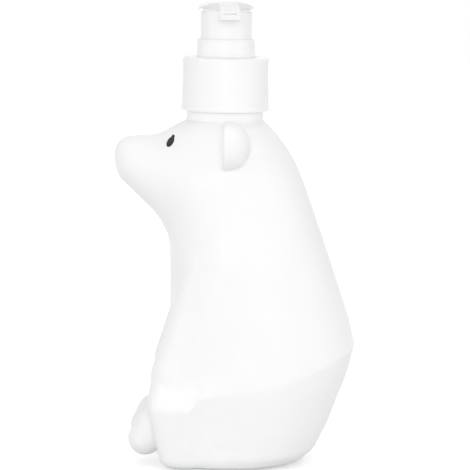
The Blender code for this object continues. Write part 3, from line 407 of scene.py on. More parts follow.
def eyeInk():
    # a pad print: near black, thinner and greyer in tiny spots
    look = {
        "dark": (0.030, 0.030, 0.034), "light": (0.085, 0.085, 0.092), "specular": 0.12,
        "spots": (2400, 3, 0.7), "spotRange": (0.60, 0.78), "spotShare": 0.35,
        "cover": (500, 2), "coverShare": 0.3, "coverRoughness": 0.12,
        "roughness": 0.46, "depth": 0.00003,
    }
    paint = Paint("eyeInk", Specular_IOR_Level=look["specular"])
    spots = paint.noise(*look["spots"]).between(*look["spotRange"])
    cover = paint.noise(*look["cover"])
    mask = spots * look["spotShare"] + cover * look["coverShare"]
    colour = paint.tint(mask, look["dark"], look["light"])
    roughness = look["roughness"] + cover.spread(look["coverRoughness"])
    return paint.finish(colour, roughness, spots, look["depth"])


finishes = {
    "bottle_plastic": bottlePlastic(),
    "pump_plastic": pumpPlastic(),
    "natural_plastic": naturalPlastic(),
    "liner": linerFoam(),
    "steel": drawnSteel(),
    "eye_ink": eyeInk(),
}
print("finishes made:", len(finishes))


def dress(piece, body, slot, *nodes):
    piece.data.materials.append(finishes[slot])
    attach(piece, body)
    if nodes:
        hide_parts(*nodes)
    return piece


# The bear. A field gives each point's distance to the skin, negative inside.

bear = {
    "shoulder": 133.6, "backReach": 47.5, "chestReach": 25.2, "haunchHalfWidth": 33.0,
    "crease": 30.6, "creaseClimb": 16.8, "creaseTilt": 0.45, "creaseCurve": 0.55,
    "creaseRounding": 0.012, "ringSamples": 4001, "leastReach": 0.001, "topRounding": 1.4,
    # height share, then front, back and side reach as shares, then squareness
    "rings": (
        (-1.000, 0.890, 0.429, 0.697, 2.19),
        (-0.970, 0.985, 0.541, 0.756, 2.23),
        (-0.900, 1.050, 0.634, 0.823, 2.32),
        (-0.700, 1.070, 0.749, 0.886, 2.41),
        (-0.400, 1.040, 0.866, 0.940, 2.45),
        (-0.200, 1.010, 0.945, 0.974, 2.49),
        (0.000, 1.000, 1.000, 1.000, 2.5),
        (0.120, 0.995, 0.952, 0.980, 2.5),
        (0.250, 0.993, 0.881, 0.953, 2.5),
        (0.400, 0.996, 0.792, 0.915, 2.5),
        (0.550, 1.020, 0.696, 0.870, 2.45),
        (0.680, 1.070, 0.608, 0.825, 2.4),
        (0.780, 1.110, 0.533, 0.788, 2.3),
        (0.860, 1.120, 0.455, 0.733, 2.2),
        (0.920, 1.090, 0.371, 0.655, 2.1),
        (0.965, 0.990, 0.295, 0.560, 2.05),
        (0.990, 0.845, 0.240, 0.480, 2.0),
        (1.000, 0.755, 0.215, 0.430, 2.0),
    ),
    "wall": 2.5, "floorThickness": 3.0, "pushUp": 1.6, "ringWidth": 5.5,
    "standingEdge": 1.0, "recessEdge": 0.8, "recessTopEdge": 0.6,
    # the hole from the neck into the hollow, and its depth under the shoulder
    "boreDepth": 6.0, "boreBlend": 1.5, "boreEdge": 0.5,
    "cell": 1.0, "gridFront": -48.0, "gridMargin": 1.5,
}
snout = {
    "nose": (-37.06, 116.5, 10.1), "cheek": (-15.0, 108.2, 19.2),  # y, z, radius
    "tip": (-40.76, 120.2, 6.4), "root": (-24.0, 118.8, 8.6),
    "widening": 1.12, "bridgeBlend": 2.0, "blend": 7.0,
}
ear = {
    "x": 23.5, "frontY": -5.2, "z": 125.3, "halfWidth": 9.5, "thickness": 10.1,
    "halfHeight": 9.2, "squareness": 2.3, "lipDepth": 1.2, "dishRadius": 18.0, "dishDepth": 1.1,
    "edge": 1.4, "blend": 1.0, "leastReach": 0.05,
}
arm = {
    "top": (18.5, -9.6, 78.0, 9.0), "paw": (19.8, -22.6, 36.5, 8.8),
    "blend": 3.0, "sideBlend": 12.0, "blendFrom": 12.0, "blendTo": 24.0, "rearFrom": -4.0,
    "rearReach": 8.0,
}
leg = {
    "outerX": 32.6, "innerX": 6.0, "top": 33.4, "frontReach": 32.2, "widestZ": 24.0,
    "kneeBack": -16.5, "kneeEdge": 0.8, "kneeTurn": math.radians(60),
    # the knee's blend grows to its full width over this height above the ledge's line
    "kneeBlend": 1.6, "kneeBlendRise": 3.0, "leastBlendShare": 0.03,
    "climb": 1.15, "climbBlend": 1.5, "thighRise": 0.3, "thighTop": 46.0, "thighTuck": 0.07,
    "thighLap": 1.0, "ledgeStart": 0.7, "ledgeGrowth": 0.16, "ledgeEdge": 0.8,
    "sideLean": math.radians(13.5), "frontLean": math.radians(12.5), "topRounding": 11.4,
    "edge": 5.0, "frontEdge": 5.0, "backY": 10.0, "blend": 3.0,
}
foot = {
    "x": 13.5, "widening": 1.25, "instep": (-30.7, 15.7, 7.0), "toe": (-33.5, 10.4, 6.6),
    "blend": 1.5,
}
neck = {
    "standRadius": 15.0, "standTop": 137.05, "standRoot": 131.6, "standBlend": 1.2,
    "standWall": 1.4, "radius": 12.6, "top": 151.9, "bore": 10.75, "edge": 0.5, "inset": 0.12,
    "standFloor": 2.5, "standEdge": 0.15, "shoulderEdge": 0.4, "steps": 128,
    # the skin's own stand ends this far under the top of the neck's
    "skinDrop": 1.0,
    "pitch": 4.233, "turns": 1.25, "beadRadius": 0.85, "beadMiddle": 12.9, "threadStart": 142.0,
    # the bead thins out over a share of its length, down to a share of its radius squared
    "threadSteps": 96, "beadSides": 14, "taperShare": 0.05, "taperEnd": 0.15,
}


def blend(a, b, width):
    near = np.maximum(width - np.abs(a - b), 0) / width
    return np.minimum(a, b) - near * near * width / 4


def trim(a, b, width):
    return -blend(-a, -b, width)


def through(places, values, at):
    # a smooth curve through the values
    slope = np.gradient(values, places)
    at = np.clip(at, places[0], places[-1])
    left = np.clip(np.searchsorted(places, at) - 1, 0, len(places) - 2)
    span = places[left + 1] - places[left]
    t = (at - places[left]) / span
    return (
        values[left] * (1 + 2 * t) * (1 - t) ** 2
        + slope[left] * span * t * (1 - t) ** 2
        + values[left + 1] * t * t * (3 - 2 * t)
        + slope[left + 1] * span * t * t * (t - 1)
    )


def ringTables():
    # front, back, side and squareness over the height share, finely sampled and slightly
    # averaged, so that the crease at share 0 has a round edge
    table = np.array(bear["rings"])
    lower, upper = table[table[:, 0] <= 0], table[table[:, 0] >= 0]
    shares = np.linspace(-1, 1, bear["ringSamples"])
    reach = int(bear["creaseRounding"] * (bear["ringSamples"] // 2))
    kernel = np.hanning(2 * reach + 3)
    kernel /= kernel.sum()
    columns = []
    sizes = (-bear["chestReach"], bear["backReach"], bear["haunchHalfWidth"], 1)
    for column, size in enumerate(sizes, start=1):
        above = through(upper[:, 0], upper[:, column], shares)
        below = through(lower[:, 0], lower[:, column], shares)
        values = np.where(shares > 0, above, below) * size
        padded = np.pad(values, reach + 1, mode="edge")
        columns.append(np.convolve(padded, kernel, mode="valid"))
    return shares, columns


ringShares, ringColumns = ringTables()


def creaseHeight(y):
    along = y / bear["backReach"]
    climb = bear["creaseTilt"] * along + bear["creaseCurve"] * along**2
    return bear["crease"] + bear["creaseClimb"] * climb


def heightShare(y, z):
    crease = creaseHeight(y)
    return np.where(z > crease, (z - crease) / (bear["shoulder"] - crease), z / crease - 1)


def torsoField(x, y, z):
    share = np.clip(heightShare(y, z), -1, 1)
    front, back, halfWidth, squareness = (
        np.interp(share, ringShares, column) for column in ringColumns
    )
    middle, halfDepth = (front + back) / 2, (back - front) / 2
    across, along = np.abs(x) / halfWidth, np.abs(y - middle) / halfDepth
    reach = (across**squareness + along**squareness + tiny) ** (1 / squareness)
    return np.hypot(x, y - middle) * (1 - 1 / np.maximum(reach, bear["leastReach"]))


def roundCone(y, z, across, start, end):
    # between two balls (y, z, radius), in the plane across = 0
    along = np.array(end[:2]) - np.array(start[:2])
    length = math.hypot(*along)
    dy, dz = y - start[0], z - start[1]
    axial = (dy * along[0] + dz * along[1]) / length
    radial = np.sqrt(np.maximum(dy * dy + dz * dz - axial * axial, 0) + across * across)
    lean = (start[2] - end[2]) / length
    slide = np.clip((axial - radial * lean / math.sqrt(1 - lean * lean)) / length, 0, 1)
    radius = start[2] + (end[2] - start[2]) * slide
    return np.hypot(axial - slide * length, radial) - radius


def snoutField(x, y, z):
    across = x / snout["widening"]
    lower = roundCone(y, z, across, snout["nose"], snout["cheek"])
    bridge = roundCone(y, z, across, snout["tip"], snout["root"])
    return blend(lower, bridge, snout["bridgeBlend"])


def armField(side, y, z):
    (topX, *top), (pawX, *paw) = arm["top"], arm["paw"]
    down = np.clip((top[1] - z) / (top[1] - paw[1]), 0, 1)
    return roundCone(y, z, side - (topX + (pawX - topX) * down), top, paw)


def legField(side, y, z):
    # a knee block with a round top; behind it the thigh, widest along a line that climbs from
    # the knee to the crease, with a ledge from there in to the torso that steepens to the back
    beyond, before = side - leg["outerX"], -leg["frontReach"] - y
    climbing = leg["widestZ"] + leg["climb"] * np.maximum(y - leg["kneeBack"], 0)
    widest = blend(climbing, creaseHeight(y) + leg["thighRise"], leg["climbBlend"])
    drop = widest - z
    outer = beyond * math.cos(leg["sideLean"]) + drop * math.sin(leg["sideLean"])
    outer = np.maximum(outer, beyond)
    knee = trim(outer, z - leg["top"], leg["topRounding"])
    behind = y - leg["kneeBack"]
    kneeBack = behind * math.cos(leg["kneeTurn"]) + beyond * math.sin(leg["kneeTurn"])
    knee = trim(knee, kneeBack, leg["kneeEdge"])
    steepness = leg["ledgeStart"] + leg["ledgeGrowth"] * np.maximum(behind, 0)
    ledge = (beyond * steepness - drop) / np.hypot(steepness, 1)
    thigh = trim(outer + leg["thighTuck"] * np.maximum(behind, 0), ledge, leg["ledgeEdge"])
    # its front and top lie inside the knee and the torso
    thigh = np.maximum(np.maximum(thigh, -leg["thighLap"] - behind), z - leg["thighTop"])
    # one even side below the ledge, a soft corner above it
    soft = np.clip(-drop / leg["kneeBlendRise"], leg["leastBlendShare"], 1)
    shape = blend(knee, thigh, leg["kneeBlend"] * soft)
    front = before * math.cos(leg["frontLean"]) + (leg["widestZ"] - z) * math.sin(leg["frontLean"])
    shape = trim(shape, np.maximum(front, before), leg["frontEdge"])
    shape = trim(shape, leg["innerX"] - side, leg["edge"])
    shape = trim(shape, y - leg["backY"], leg["edge"])
    return trim(shape, -z, leg["edge"])


def footField(side, y, z):
    across = (side - foot["x"]) / foot["widening"]
    return roundCone(y, z, across, foot["instep"], foot["toe"])


def earField(side, y, z):
    dx, dy, dz = side - ear["x"], y - ear["frontY"], z - ear["z"]
    behind = np.maximum(dy - ear["lipDepth"], 0)  # straight sides in front, round behind
    deep = ear["thickness"] - ear["lipDepth"]
    power = ear["squareness"]
    stretched = np.abs(dx / ear["halfWidth"]) ** power + np.abs(dz / ear["halfHeight"]) ** power
    stretched = (stretched + (behind / deep) ** power + tiny) ** (1 / power)
    away = np.sqrt(dx**2 + behind**2 + dz**2)
    flap = away * (1 - 1 / np.maximum(stretched, ear["leastReach"]))
    flap = trim(flap, -dy, ear["edge"])
    dishY = dy - ear["dishDepth"] + ear["dishRadius"]
    dish = ear["dishRadius"] - np.sqrt(dx**2 + dishY**2 + dz**2)
    return trim(flap, dish, ear["edge"])


def standField(x, y, z):
    side = np.hypot(x, y - pumpLine) - neck["standRadius"] + neck["inset"]
    return np.maximum(side, z - neck["standTop"] + neck["skinDrop"])


def trunkField(x, y, z):
    torso = trim(torsoField(x, y, z), z - bear["shoulder"], bear["topRounding"])
    return blend(torso, snoutField(x, y, z), snout["blend"])


def bodyField(x, y, z):
    # the skin without neck and recess
    side = np.abs(x)
    shape = trunkField(x, y, z)
    outward = np.clip((side - arm["blendFrom"]) / (arm["blendTo"] - arm["blendFrom"]), 0, 1)
    outward = outward * outward * (3 - 2 * outward)
    # full behind the arm and narrow in front of it, so that its outline from the side stays
    (_, topY, topZ, _), (_, pawY, pawZ, _) = arm["top"], arm["paw"]
    down = np.clip((topZ - z) / (topZ - pawZ), 0, 1)
    rear = y - topY - (pawY - topY) * down - arm["rearFrom"]
    rear = np.clip(rear / arm["rearReach"], 0, 1)
    width = arm["blend"] + (arm["sideBlend"] - arm["blend"]) * outward * rear
    shape = blend(shape, armField(side, y, z), width)
    shape = blend(shape, legField(side, y, z), leg["blend"])
    shape = blend(shape, footField(side, y, z), foot["blend"])
    return blend(shape, earField(side, y, z), ear["blend"])


def recessField(x, y, z):
    # the shallow oval under the base
    front, back, halfWidth, _ = (column[0] for column in ringColumns)
    halfDepth = (back - front) / 2 - bear["ringWidth"]
    halfWidth = halfWidth - bear["ringWidth"]
    along = np.hypot(x / halfWidth, (y - (front + back) / 2) / halfDepth)
    return trim((along - 1) * halfWidth, z - bear["pushUp"], bear["recessTopEdge"])


def bottleField(x, y, z):
    shape = blend(bodyField(x, y, z), standField(x, y, z), neck["standBlend"])
    shape = trim(shape, -z, bear["standingEdge"])
    shape = trim(shape, -recessField(x, y, z), bear["recessEdge"])
    floor = bear["pushUp"] + bear["floorThickness"] - z
    cavity = np.maximum(trunkField(x, y, z) + bear["wall"], floor)
    bore = np.hypot(x, y - pumpLine) - neck["bore"] - neck["inset"]
    bore = np.maximum(bore, bear["shoulder"] - bear["boreDepth"] - z)
    cavity = blend(cavity, bore, bear["boreBlend"])
    return trim(shape, -cavity, bear["boreEdge"])


def threadPath(middle, start):
    steps = neck["threadSteps"]
    count = round(neck["turns"] * steps)
    path = []
    for i in range(count + 1):
        turn = 2 * math.pi * i / steps
        height = start + neck["pitch"] * i / steps
        path.append((middle * math.cos(turn), pumpLine + middle * math.sin(turn), height))
    share = np.linspace(0, 1, count + 1)
    ends = np.minimum(share, 1 - share) / neck["taperShare"]
    ends = np.clip(ends, neck["taperEnd"], 1)
    return path, neck["beadRadius"] * np.sqrt(ends)


def makeBottle():
    margin = bear["gridMargin"]
    low = (-ear["x"] - ear["halfWidth"] - margin, bear["gridFront"] - margin, -margin)
    high = (-low[0], bear["backReach"] + margin, neck["standTop"] + margin)
    points, faces, normals = skinOf(bottleField, low, high, bear["cell"])
    print("bottle:", len(points), "points")
    return linkMesh("bearBottle", points, faces, normals)


def makeNeck():
    wall = neck["standRadius"] - neck["standWall"]
    standFloor = neck["standTop"] - neck["standFloor"]
    outline = rounded([
        (neck["bore"], neck["top"], neck["edge"]),
        (neck["radius"], neck["top"], neck["edge"]),
        (neck["radius"], neck["standTop"], neck["shoulderEdge"]),
        (neck["standRadius"], neck["standTop"], neck["standEdge"]),
        (neck["standRadius"], neck["standRoot"], 0),
        (wall, neck["standRoot"], 0),
        (wall, standFloor, 0),
        (neck["bore"], standFloor, 0),
    ])
    points, faces = turnedMesh(outline, neck["steps"])
    path, radius = threadPath(neck["beadMiddle"], neck["threadStart"])
    beadPoints, beadFaces = beadMesh(path, radius, neck["beadSides"], len(points))
    points, faces = points + beadPoints, faces + beadFaces
    return linkMesh("bottleNeck", points, faces, sharpFrom=sharpAngle)


bottle = dress(makeBottle(), "bear_bottle", "bottle_plastic", "bottle")
dress(makeNeck(), "bear_bottle", "bottle_plastic")
print("bottle made")


# Printed eyes

eye = {
    "y": -25.4, "z": 125.5, "halfLength": 2.15, "halfWidth": 1.15, "tilt": math.radians(57),
    "lobeReach": 2.3, "lobeTurn": math.radians(6), "lobeRadius": 0.62,
    "lift": 0.05, "thickness": 0.08, "rings": 8, "around": 144, "castFrom": 60.0,
}


def eyeReach(turn):
    # from the oval's middle to the outline
    across = math.sin(turn) / eye["halfWidth"]
    reach = 1 / math.hypot(math.cos(turn) / eye["halfLength"], across)
    off = turn - eye["lobeTurn"]
    within = eye["lobeRadius"] ** 2 - (eye["lobeReach"] * math.sin(off)) ** 2
    if within > 0 and math.cos(off) > 0:
        reach = max(reach, eye["lobeReach"] * math.cos(off) + math.sqrt(within))
    return reach


def makeEye(name, side):
    # a thin film that lies on the cheek
    rings, around = eye["rings"], eye["around"]
    points, faces = [], []
    tree = BVHTree.FromObject(bottle, bpy.context.evaluated_depsgraph_get())
    for layer in (eye["lift"], eye["lift"] + eye["thickness"]):
        for ring in range(rings + 1):
            share = ring / rings
            for i in range(around if ring else 1):
                turn = 2 * math.pi * i / around
                reach = eyeReach(turn) * share
                length, width = reach * math.cos(turn), reach * math.sin(turn)
                c, s = math.cos(eye["tilt"]), math.sin(eye["tilt"])
                y = eye["y"] + length * c - width * s
                z = eye["z"] + length * s + width * c
                start = Vector((side * eye["castFrom"], y, z)) * mm
                place, normal, _, _ = tree.ray_cast(start, Vector((-side, 0, 0)))
                # the rim comes down on the cheek
                lift = layer if ring < rings else eye["lift"]
                points.append(tuple(place / mm + normal * lift))
    size = 1 + rings * around
    for layer in (0, size):
        for i in range(around):
            j = (i + 1) % around
            faces.append((layer, layer + 1 + i, layer + 1 + j))
            for ring in range(1, rings):
                a, b = layer + 1 + (ring - 1) * around, layer + 1 + ring * around
                faces.append((a + i, b + i, b + j, a + j))
    half = len(faces) // 2
    under, top = [face[::-1] for face in faces[:half]], faces[half:]
    rim = size - around
    wall = [
        (rim + i, rim + (i + 1) % around, size + rim + (i + 1) % around, size + rim + i)
        for i in range(around)
    ]
    faces = under + top + wall
    if side < 0:
        faces = [face[::-1] for face in faces]
    return linkMesh(name, points, faces)


dress(makeEye("eyePrintLeft", 1), "bear_bottle", "eye_ink", "eye_print_left")
dress(makeEye("eyePrintRight", -1), "bear_bottle", "eye_ink", "eye_print_right")
print("eyes made")


# Closure and lock cup

closure = {
    "top": 157.9, "plate": 1.6, "foot": 137.1, "topRadius": 16.5, "footRadius": 17.1,
    "bore": 14.1, "hole": 11.7, "corner": 1.5, "footEdge": 0.7, "edge": 0.35,
    "lip": 0.22, "lipRise": 1.7, "sideInset": 0.05, "lipRootEdge": 0.15, "lipEdge": 0.12,
    "boreEdge": 0.5, "plateEdge": 0.4, "arcSteps": 7,
    "beadMiddle": 13.85, "steps": 128,
}
cup = {
    "top": 164.8, "topRadius": 10.95, "footRadius": 11.4, "bore": 10.15, "flangeTop": 156.0,
    "flangeBottom": 154.8, "flangeRadius": 13.6, "stopRadius": 6.9, "stopFoot": 151.5,
    "guideBore": 4.2, "guideRadius": 5.6, "guideTop": 161.5, "edge": 0.3,
    "flangeEdge": 0.25, "guideEdge": 0.2, "floorEdge": 0.4, "steps": 112,
}


def makeClosure():
    plateBottom = closure["top"] - closure["plate"]
    lipRoot = closure["foot"] + closure["lipRise"]
    side = closure["footRadius"] - closure["sideInset"]
    outline = rounded([
        (closure["hole"], closure["top"], closure["edge"]),
        (closure["topRadius"], closure["top"], closure["corner"]),
        (side, lipRoot, closure["lipRootEdge"]),
        (side + closure["lip"], lipRoot - closure["lip"], closure["lipEdge"]),
        (closure["footRadius"] + closure["lip"], closure["foot"], closure["footEdge"]),
        (closure["bore"], closure["foot"], closure["boreEdge"]),
        (closure["bore"], plateBottom, closure["plateEdge"]),
        (closure["hole"], plateBottom, closure["edge"]),
    ], closure["arcSteps"])
    points, faces = turnedMesh(outline, closure["steps"])
    path, radius = threadPath(closure["beadMiddle"], neck["threadStart"] - neck["pitch"] / 2)
    beadPoints, beadFaces = beadMesh(path, radius, neck["beadSides"], len(points))
    points, faces = points + beadPoints, faces + beadFaces
    return linkMesh("closure", points, faces, sharpFrom=sharpAngle)


def makeCup():
    outline = rounded([
        (cup["bore"], cup["top"], cup["edge"]),
        (cup["topRadius"], cup["top"], cup["edge"]),
        (cup["footRadius"], cup["flangeTop"], cup["flangeEdge"]),
        (cup["flangeRadius"], cup["flangeTop"], cup["flangeEdge"]),
        (cup["flangeRadius"], cup["flangeBottom"], cup["flangeEdge"]),
        (cup["stopRadius"], cup["flangeBottom"], cup["edge"]),
        (cup["stopRadius"], cup["stopFoot"], cup["edge"]),
        (cup["guideBore"], cup["stopFoot"], cup["guideEdge"]),
        (cup["guideBore"], cup["guideTop"], cup["guideEdge"]),
        (cup["guideRadius"], cup["guideTop"], cup["edge"]),
        (cup["guideRadius"], cup["flangeTop"], cup["edge"]),
        (cup["bore"], cup["flangeTop"], cup["floorEdge"]),
    ])
    points, faces = turnedMesh(outline, cup["steps"])
    return linkMesh("lockCup", points, faces, sharpFrom=sharpAngle)


dress(makeClosure(), "collar", "pump_plastic", "closure")
dress(makeCup(), "pump_engine", "pump_plastic", "lock_cup")
print("closure and cup made")


# Actuator

head = {
    "turn": math.radians(4.5), "cell": 0.22, "gridMargin": 0.8, "gridTop": 181.0,
    "skirtRadius": 9.85, "skirtWall": 1.25, "skirtFoot": 162.8, "skirtTop": 175.2,
    "skirtEdge": 0.35, "innerEdge": 0.4, "roof": 1.5, "bossRadius": 5.9, "bossFoot": 168.5,
    "socket": 4.2, "stemTop": 174.3, "stemBore": 2.5, "channelTop": 175.4, "overrun": 1.0,
    # the block between the skirt and the saddle's underside
    "coreDepth": 8.6, "coreWidth": 9.25, "coreDrop": 2.0, "coreLap": 0.8, "coreBlend": 0.5,
    "saddleMiddle": 179.1, "frontRise": 0.4, "backRise": 0.78, "saddleDrop": 3.4,
    "leastArch": 0.004, "leanShare": 1.6, "halfLength": 12.4, "halfWidth": 10.85,
    "squareness": 2.6, "leastReach": 0.05,
    # how thick the saddle is at its rim, and how much it gains inward
    "rim": 0.75, "root": 3.0, "rootSlope": 0.6, "rimEdge": 0.4, "faceEdge": 0.32, "rimLean": 1.3,
    "nozzleRoot": 6.5, "nozzleReach": 20.0, "tipTop": 175.5, "tipBottom": 172.5,
    "rootTop": 180.6, "ceiling": 178.5, "rootBottom": 171.9, "rootWidth": 7.2, "tipWidth": 8.1,
    "nozzleEdge": 0.7, "tipEdge": 0.42, "nozzleBlend": 0.6, "skirtBlend": 0.4,
    "tipLean": math.radians(18), "mouthWidth": 5.0, "mouthHeight": 1.2, "mouthDrop": 0.45,
    "rampFrom": 0.05, "rampSlope": 1.3, "throatFrom": 0.75, "throatRise": 0.3,
    "mouthEdge": 0.2, "holeEdge": 0.25,
}


def saddleTop(x, y):
    rise = np.where(x > 0, head["frontRise"], head["backRise"]) * (x / head["halfLength"]) ** 2
    arch = np.sqrt(np.maximum(1 - (y / head["halfWidth"]) ** 2, head["leastArch"]))
    return head["saddleMiddle"] + rise - head["saddleDrop"] * (1 - arch)


def headField(x, y, z):
    # in the head's own frame: the nozzle along +x, the stem at the origin
    out = np.hypot(x, y)
    skirt = trim(out - head["skirtRadius"], z - head["skirtTop"], head["skirtEdge"])
    skirt = trim(skirt, head["skirtFoot"] - z, head["skirtEdge"])
    inside = out - head["skirtRadius"] + head["skirtWall"]
    inside = np.maximum(inside, z - head["skirtTop"] + head["roof"])
    shape = trim(skirt, -inside, head["innerEdge"])
    boss = np.maximum(out - head["bossRadius"], head["bossFoot"] - z)
    boss = np.maximum(boss, z - head["skirtTop"])
    shape = np.minimum(shape, boss)

    top = saddleTop(x, y)
    lean = (head["saddleDrop"] * y / head["halfWidth"] ** 2) ** 2
    lean = np.sqrt(1 + lean * head["leanShare"])
    power = head["squareness"]
    footprint = (np.abs(x) / head["halfLength"]) ** power + (np.abs(y) / head["halfWidth"]) ** power
    footprint = (footprint + tiny) ** (1 / power)
    edge = out * (1 - 1 / np.maximum(footprint, head["leastReach"]))
    swell = np.clip(-edge * head["rootSlope"], 0, head["root"])
    under = top - head["rim"] - swell
    saddle = trim((z - top) / lean, (under - z) / lean, head["faceEdge"])
    saddle = trim(saddle, edge + np.maximum(top - z, 0) * head["rimLean"], head["rimEdge"])
    core = np.hypot(x * head["coreWidth"] / head["coreDepth"], y) - head["coreWidth"]
    core = np.maximum(core, z - head["saddleMiddle"] + head["coreDrop"])
    core = np.maximum(core, head["skirtTop"] - head["coreLap"] - z)
    upper = blend(saddle, core, head["coreBlend"])

    along = np.clip((x - head["nozzleRoot"]) / (head["nozzleReach"] - head["nozzleRoot"]), 0, 1)
    width = head["rootWidth"] + (head["tipWidth"] - head["rootWidth"]) * along
    ceiling = head["rootTop"] + (head["tipTop"] - head["rootTop"]) * along
    ceiling = np.minimum(ceiling, head["ceiling"])
    ground = head["rootBottom"] + (head["tipBottom"] - head["rootBottom"]) * along
    nozzle = trim(np.abs(y) - width / 2, z - ceiling, head["nozzleEdge"])
    nozzle = trim(nozzle, ground - z, head["nozzleEdge"])
    tip = (x - head["nozzleReach"]) * math.cos(head["tipLean"])
    tip = tip + (head["tipTop"] - z) * math.sin(head["tipLean"])
    nozzle = trim(nozzle, tip, head["tipEdge"])
    nozzle = np.maximum(nozzle, head["nozzleRoot"] - x)
    upper = blend(upper, nozzle, head["nozzleBlend"])
    shape = blend(shape, upper, head["skirtBlend"])

    # right behind the mouth the channel climbs over a sill as high as the mouth's upper edge
    mouthTop = head["tipTop"] - head["mouthDrop"]
    behind = head["nozzleReach"] - head["rampFrom"] - x
    sill = np.clip(behind * head["rampSlope"], 0, head["mouthHeight"])
    throat = np.clip(behind - head["throatFrom"], 0, head["throatRise"])
    mouth = trim(np.abs(y) - head["mouthWidth"] / 2, z - mouthTop - throat, head["mouthEdge"])
    mouth = trim(mouth, mouthTop - head["mouthHeight"] + sill - z, head["mouthEdge"])
    mouth = np.maximum(mouth, -x)
    bore = np.maximum(out - head["stemBore"], z - head["channelTop"])
    socket = np.maximum(out - head["socket"], z - head["stemTop"])
    below = head["bossFoot"] - head["overrun"] - z
    hole = np.minimum(mouth, np.maximum(np.minimum(bore, socket), below))
    return trim(shape, -hole, head["holeEdge"])


def makeActuator():
    margin = head["gridMargin"]
    width = head["halfWidth"] + margin
    low = (-head["halfLength"] - margin, -width, head["skirtFoot"] - margin)
    high = (head["nozzleReach"] + margin, width, head["gridTop"])
    points, faces, normals = skinOf(headField, low, high, head["cell"])
    print("actuator:", len(points), "points")
    turn = np.array(Matrix.Rotation(head["turn"], 3, "Z"))
    points = points @ turn.T + np.array([0, pumpLine, 0])
    return linkMesh("actuator", points, faces, normals @ turn.T)


dress(makeActuator(), "head", "pump_plastic", "actuator")
print("actuator made")


# Return spring

spring = {
    "foot": 121.3, "top": 139.6, "mean": 5.4, "wire": 0.5, "turns": 7, "stroke": 6.5,
    "steps": 28, "sides": 10, "sharpAngle": 60,
}


def makeSpring():
    steps = spring["steps"]
    count = spring["turns"] * steps
    low, high = spring["foot"] + spring["wire"], spring["top"] - spring["wire"]
    path = []
    for i in range(count + 1):
        turn = 2 * math.pi * i / steps
        height = low + (high - low) * i / count
        c, s = math.cos(turn), math.sin(turn)
        path.append((spring["mean"] * c, pumpLine + spring["mean"] * s, height))
    points, faces = beadMesh(path, np.full(count + 1, spring["wire"]), spring["sides"], 0)
    return linkMesh("returnSpring", points, faces, sharpFrom=spring["sharpAngle"])


coil = dress(makeSpring(), "pump_engine", "steel", "return_spring")
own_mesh(coil)
print("spring made")


# Pieces whose CAD shape stays

carriedOver = {
    "gasket": "liner",
    "pump_housing": "natural_plastic",
    "ball_cage": "natural_plastic",
    "check_ball": "steel",
    "dip_tube": "natural_plastic",
    "stem": "natural_plastic",
    "stem_plug": "natural_plastic",
    "piston": "natural_plastic",
}
for name, slot in carriedOver.items():
    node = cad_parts[name]
    for place in node.material_slots:
        place.material = finishes[slot]


# Floor, lights and camera

studio = {
    "floorHalf": 3.0, "floorColour": (0.80, 0.80, 0.80), "floorDrop": 0.05,
    "floorCloud": (3, 2), "floorShade": 0.985, "floorRoughness": 0.9, "floorSpecular": 0.1,
    "world": 0.56,
    # the paper's own white near the bear and farther out, and where it changes, in metres
    "nearWhite": 0.45, "farWhite": 1.0, "whiteFrom": 0.10, "whiteTo": 0.45,
    # name, place, what it looks at, width, height, watts
    "lamps": (
        ("leftSoftbox", (0.75, -1.30, 0.42), (0, 0, 0.09), 1.0, 1.0, 4.6),
        ("rightSoftbox", (0.75, 1.30, 0.42), (0, 0, 0.09), 1.0, 1.0, 4.7),
        ("frontSoftbox", (1.55, 0.0, 0.42), (0, 0, 0.09), 0.8, 0.8, 5.9),
        ("topSoftbox", (0.25, 0.0, 1.5), (0, 0, 0.09), 1.0, 1.0, 3.1),
        ("backFill", (-1.3, 0.2, 0.9), (0, 0, 0.09), 1.0, 1.0, 2.2),
    ),
    "eye": (0.99297, 0.0, 0.20690), "target": (0.0, 0.0, 0.0885), "roll": math.radians(1.0),
    "lens": 196.4, "sensor": 36,
}


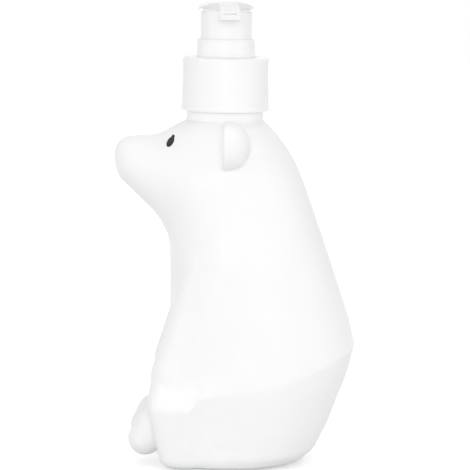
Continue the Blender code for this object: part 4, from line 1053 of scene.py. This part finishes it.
def makeFloor():
    half = studio["floorHalf"]
    corners = [(-half, -half, 0), (half, -half, 0), (half, half, 0), (-half, half, 0)]
    points = np.array(corners) / mm - (0, 0, studio["floorDrop"])
    floor = linkMesh("floor", points, [(0, 1, 2, 3)])
    paint = Paint("floorPaper", Roughness=studio["floorRoughness"], Emission_Strength=1.0)
    paint.surface.inputs["Specular IOR Level"].default_value = studio["floorSpecular"]
    cloud = paint.noise(*studio["floorCloud"])
    shade = [c * studio["floorShade"] for c in studio["floorColour"]]
    paint.finish(paint.tint(cloud, shade, studio["floorColour"]))
    rays = paint.tree.nodes.new("ShaderNodeLightPath")
    seen = Wire(paint, rays.outputs["Is Camera Ray"])
    for kind in ("Is Glossy Ray", "Is Transmission Ray"):
        seen = seen.math("MAXIMUM", Wire(paint, rays.outputs[kind]))
    across, along, _ = paint.axes()
    away = (across * across + along * along) ** 0.5
    reach = away.between(studio["whiteFrom"], studio["whiteTo"])
    white = reach * (studio["farWhite"] - studio["nearWhite"]) + studio["nearWhite"]
    paint.feed(paint.surface.inputs["Emission Color"], seen * white)
    floor.data.materials.append(paint.material)


def makeWorld():
    world = bpy.data.worlds.new("studioWorld")
    world.use_nodes = True
    bpy.context.scene.world = world
    tree = world.node_tree
    rays = tree.nodes.new("ShaderNodeLightPath")
    white, light = (tree.nodes.new("ShaderNodeBackground") for _ in range(2))
    white.inputs["Color"].default_value = (1, 1, 1, 1)
    light.inputs["Color"].default_value = (*[studio["world"]] * 3, 1)
    seen = rays.outputs["Is Camera Ray"]
    for kind in ("Is Glossy Ray", "Is Transmission Ray"):
        either = tree.nodes.new("ShaderNodeMath")
        either.operation = "MAXIMUM"
        tree.links.new(seen, either.inputs[0])
        tree.links.new(rays.outputs[kind], either.inputs[1])
        seen = either.outputs[0]
    mix = tree.nodes.new("ShaderNodeMixShader")
    tree.links.new(seen, mix.inputs[0])
    tree.links.new(light.outputs[0], mix.inputs[1])
    tree.links.new(white.outputs[0], mix.inputs[2])
    tree.links.new(mix.outputs[0], tree.nodes["World Output"].inputs[0])


def makeLamps():
    for name, place, aim, width, height, power in studio["lamps"]:
        data = bpy.data.lights.new(name, "AREA")
        data.shape = "RECTANGLE"
        data.size, data.size_y, data.energy = width, height, power
        lamp = bpy.data.objects.new(name, data)
        lamp.location = place
        lamp.rotation_euler = (Vector(place) - Vector(aim)).to_track_quat("Z", "Y").to_euler()
        bpy.context.scene.collection.objects.link(lamp)


def makeCamera():
    data = bpy.data.cameras.new("camera")
    data.lens = studio["lens"]
    data.sensor_width = studio["sensor"]
    camera = bpy.data.objects.new("camera", data)
    place = Vector(studio["eye"])
    back = (place - Vector(studio["target"])).normalized()
    level = back.to_track_quat("Z", "Y").to_matrix()
    turned = level @ Matrix.Rotation(studio["roll"], 3, "Z")
    camera.matrix_world = Matrix.Translation(place) @ turned.to_4x4()
    bpy.context.scene.collection.objects.link(camera)
    bpy.context.scene.camera = camera


makeFloor()
makeWorld()
makeLamps()
makeCamera()
bpy.context.scene.view_settings.view_transform = "Standard"
print("studio made")
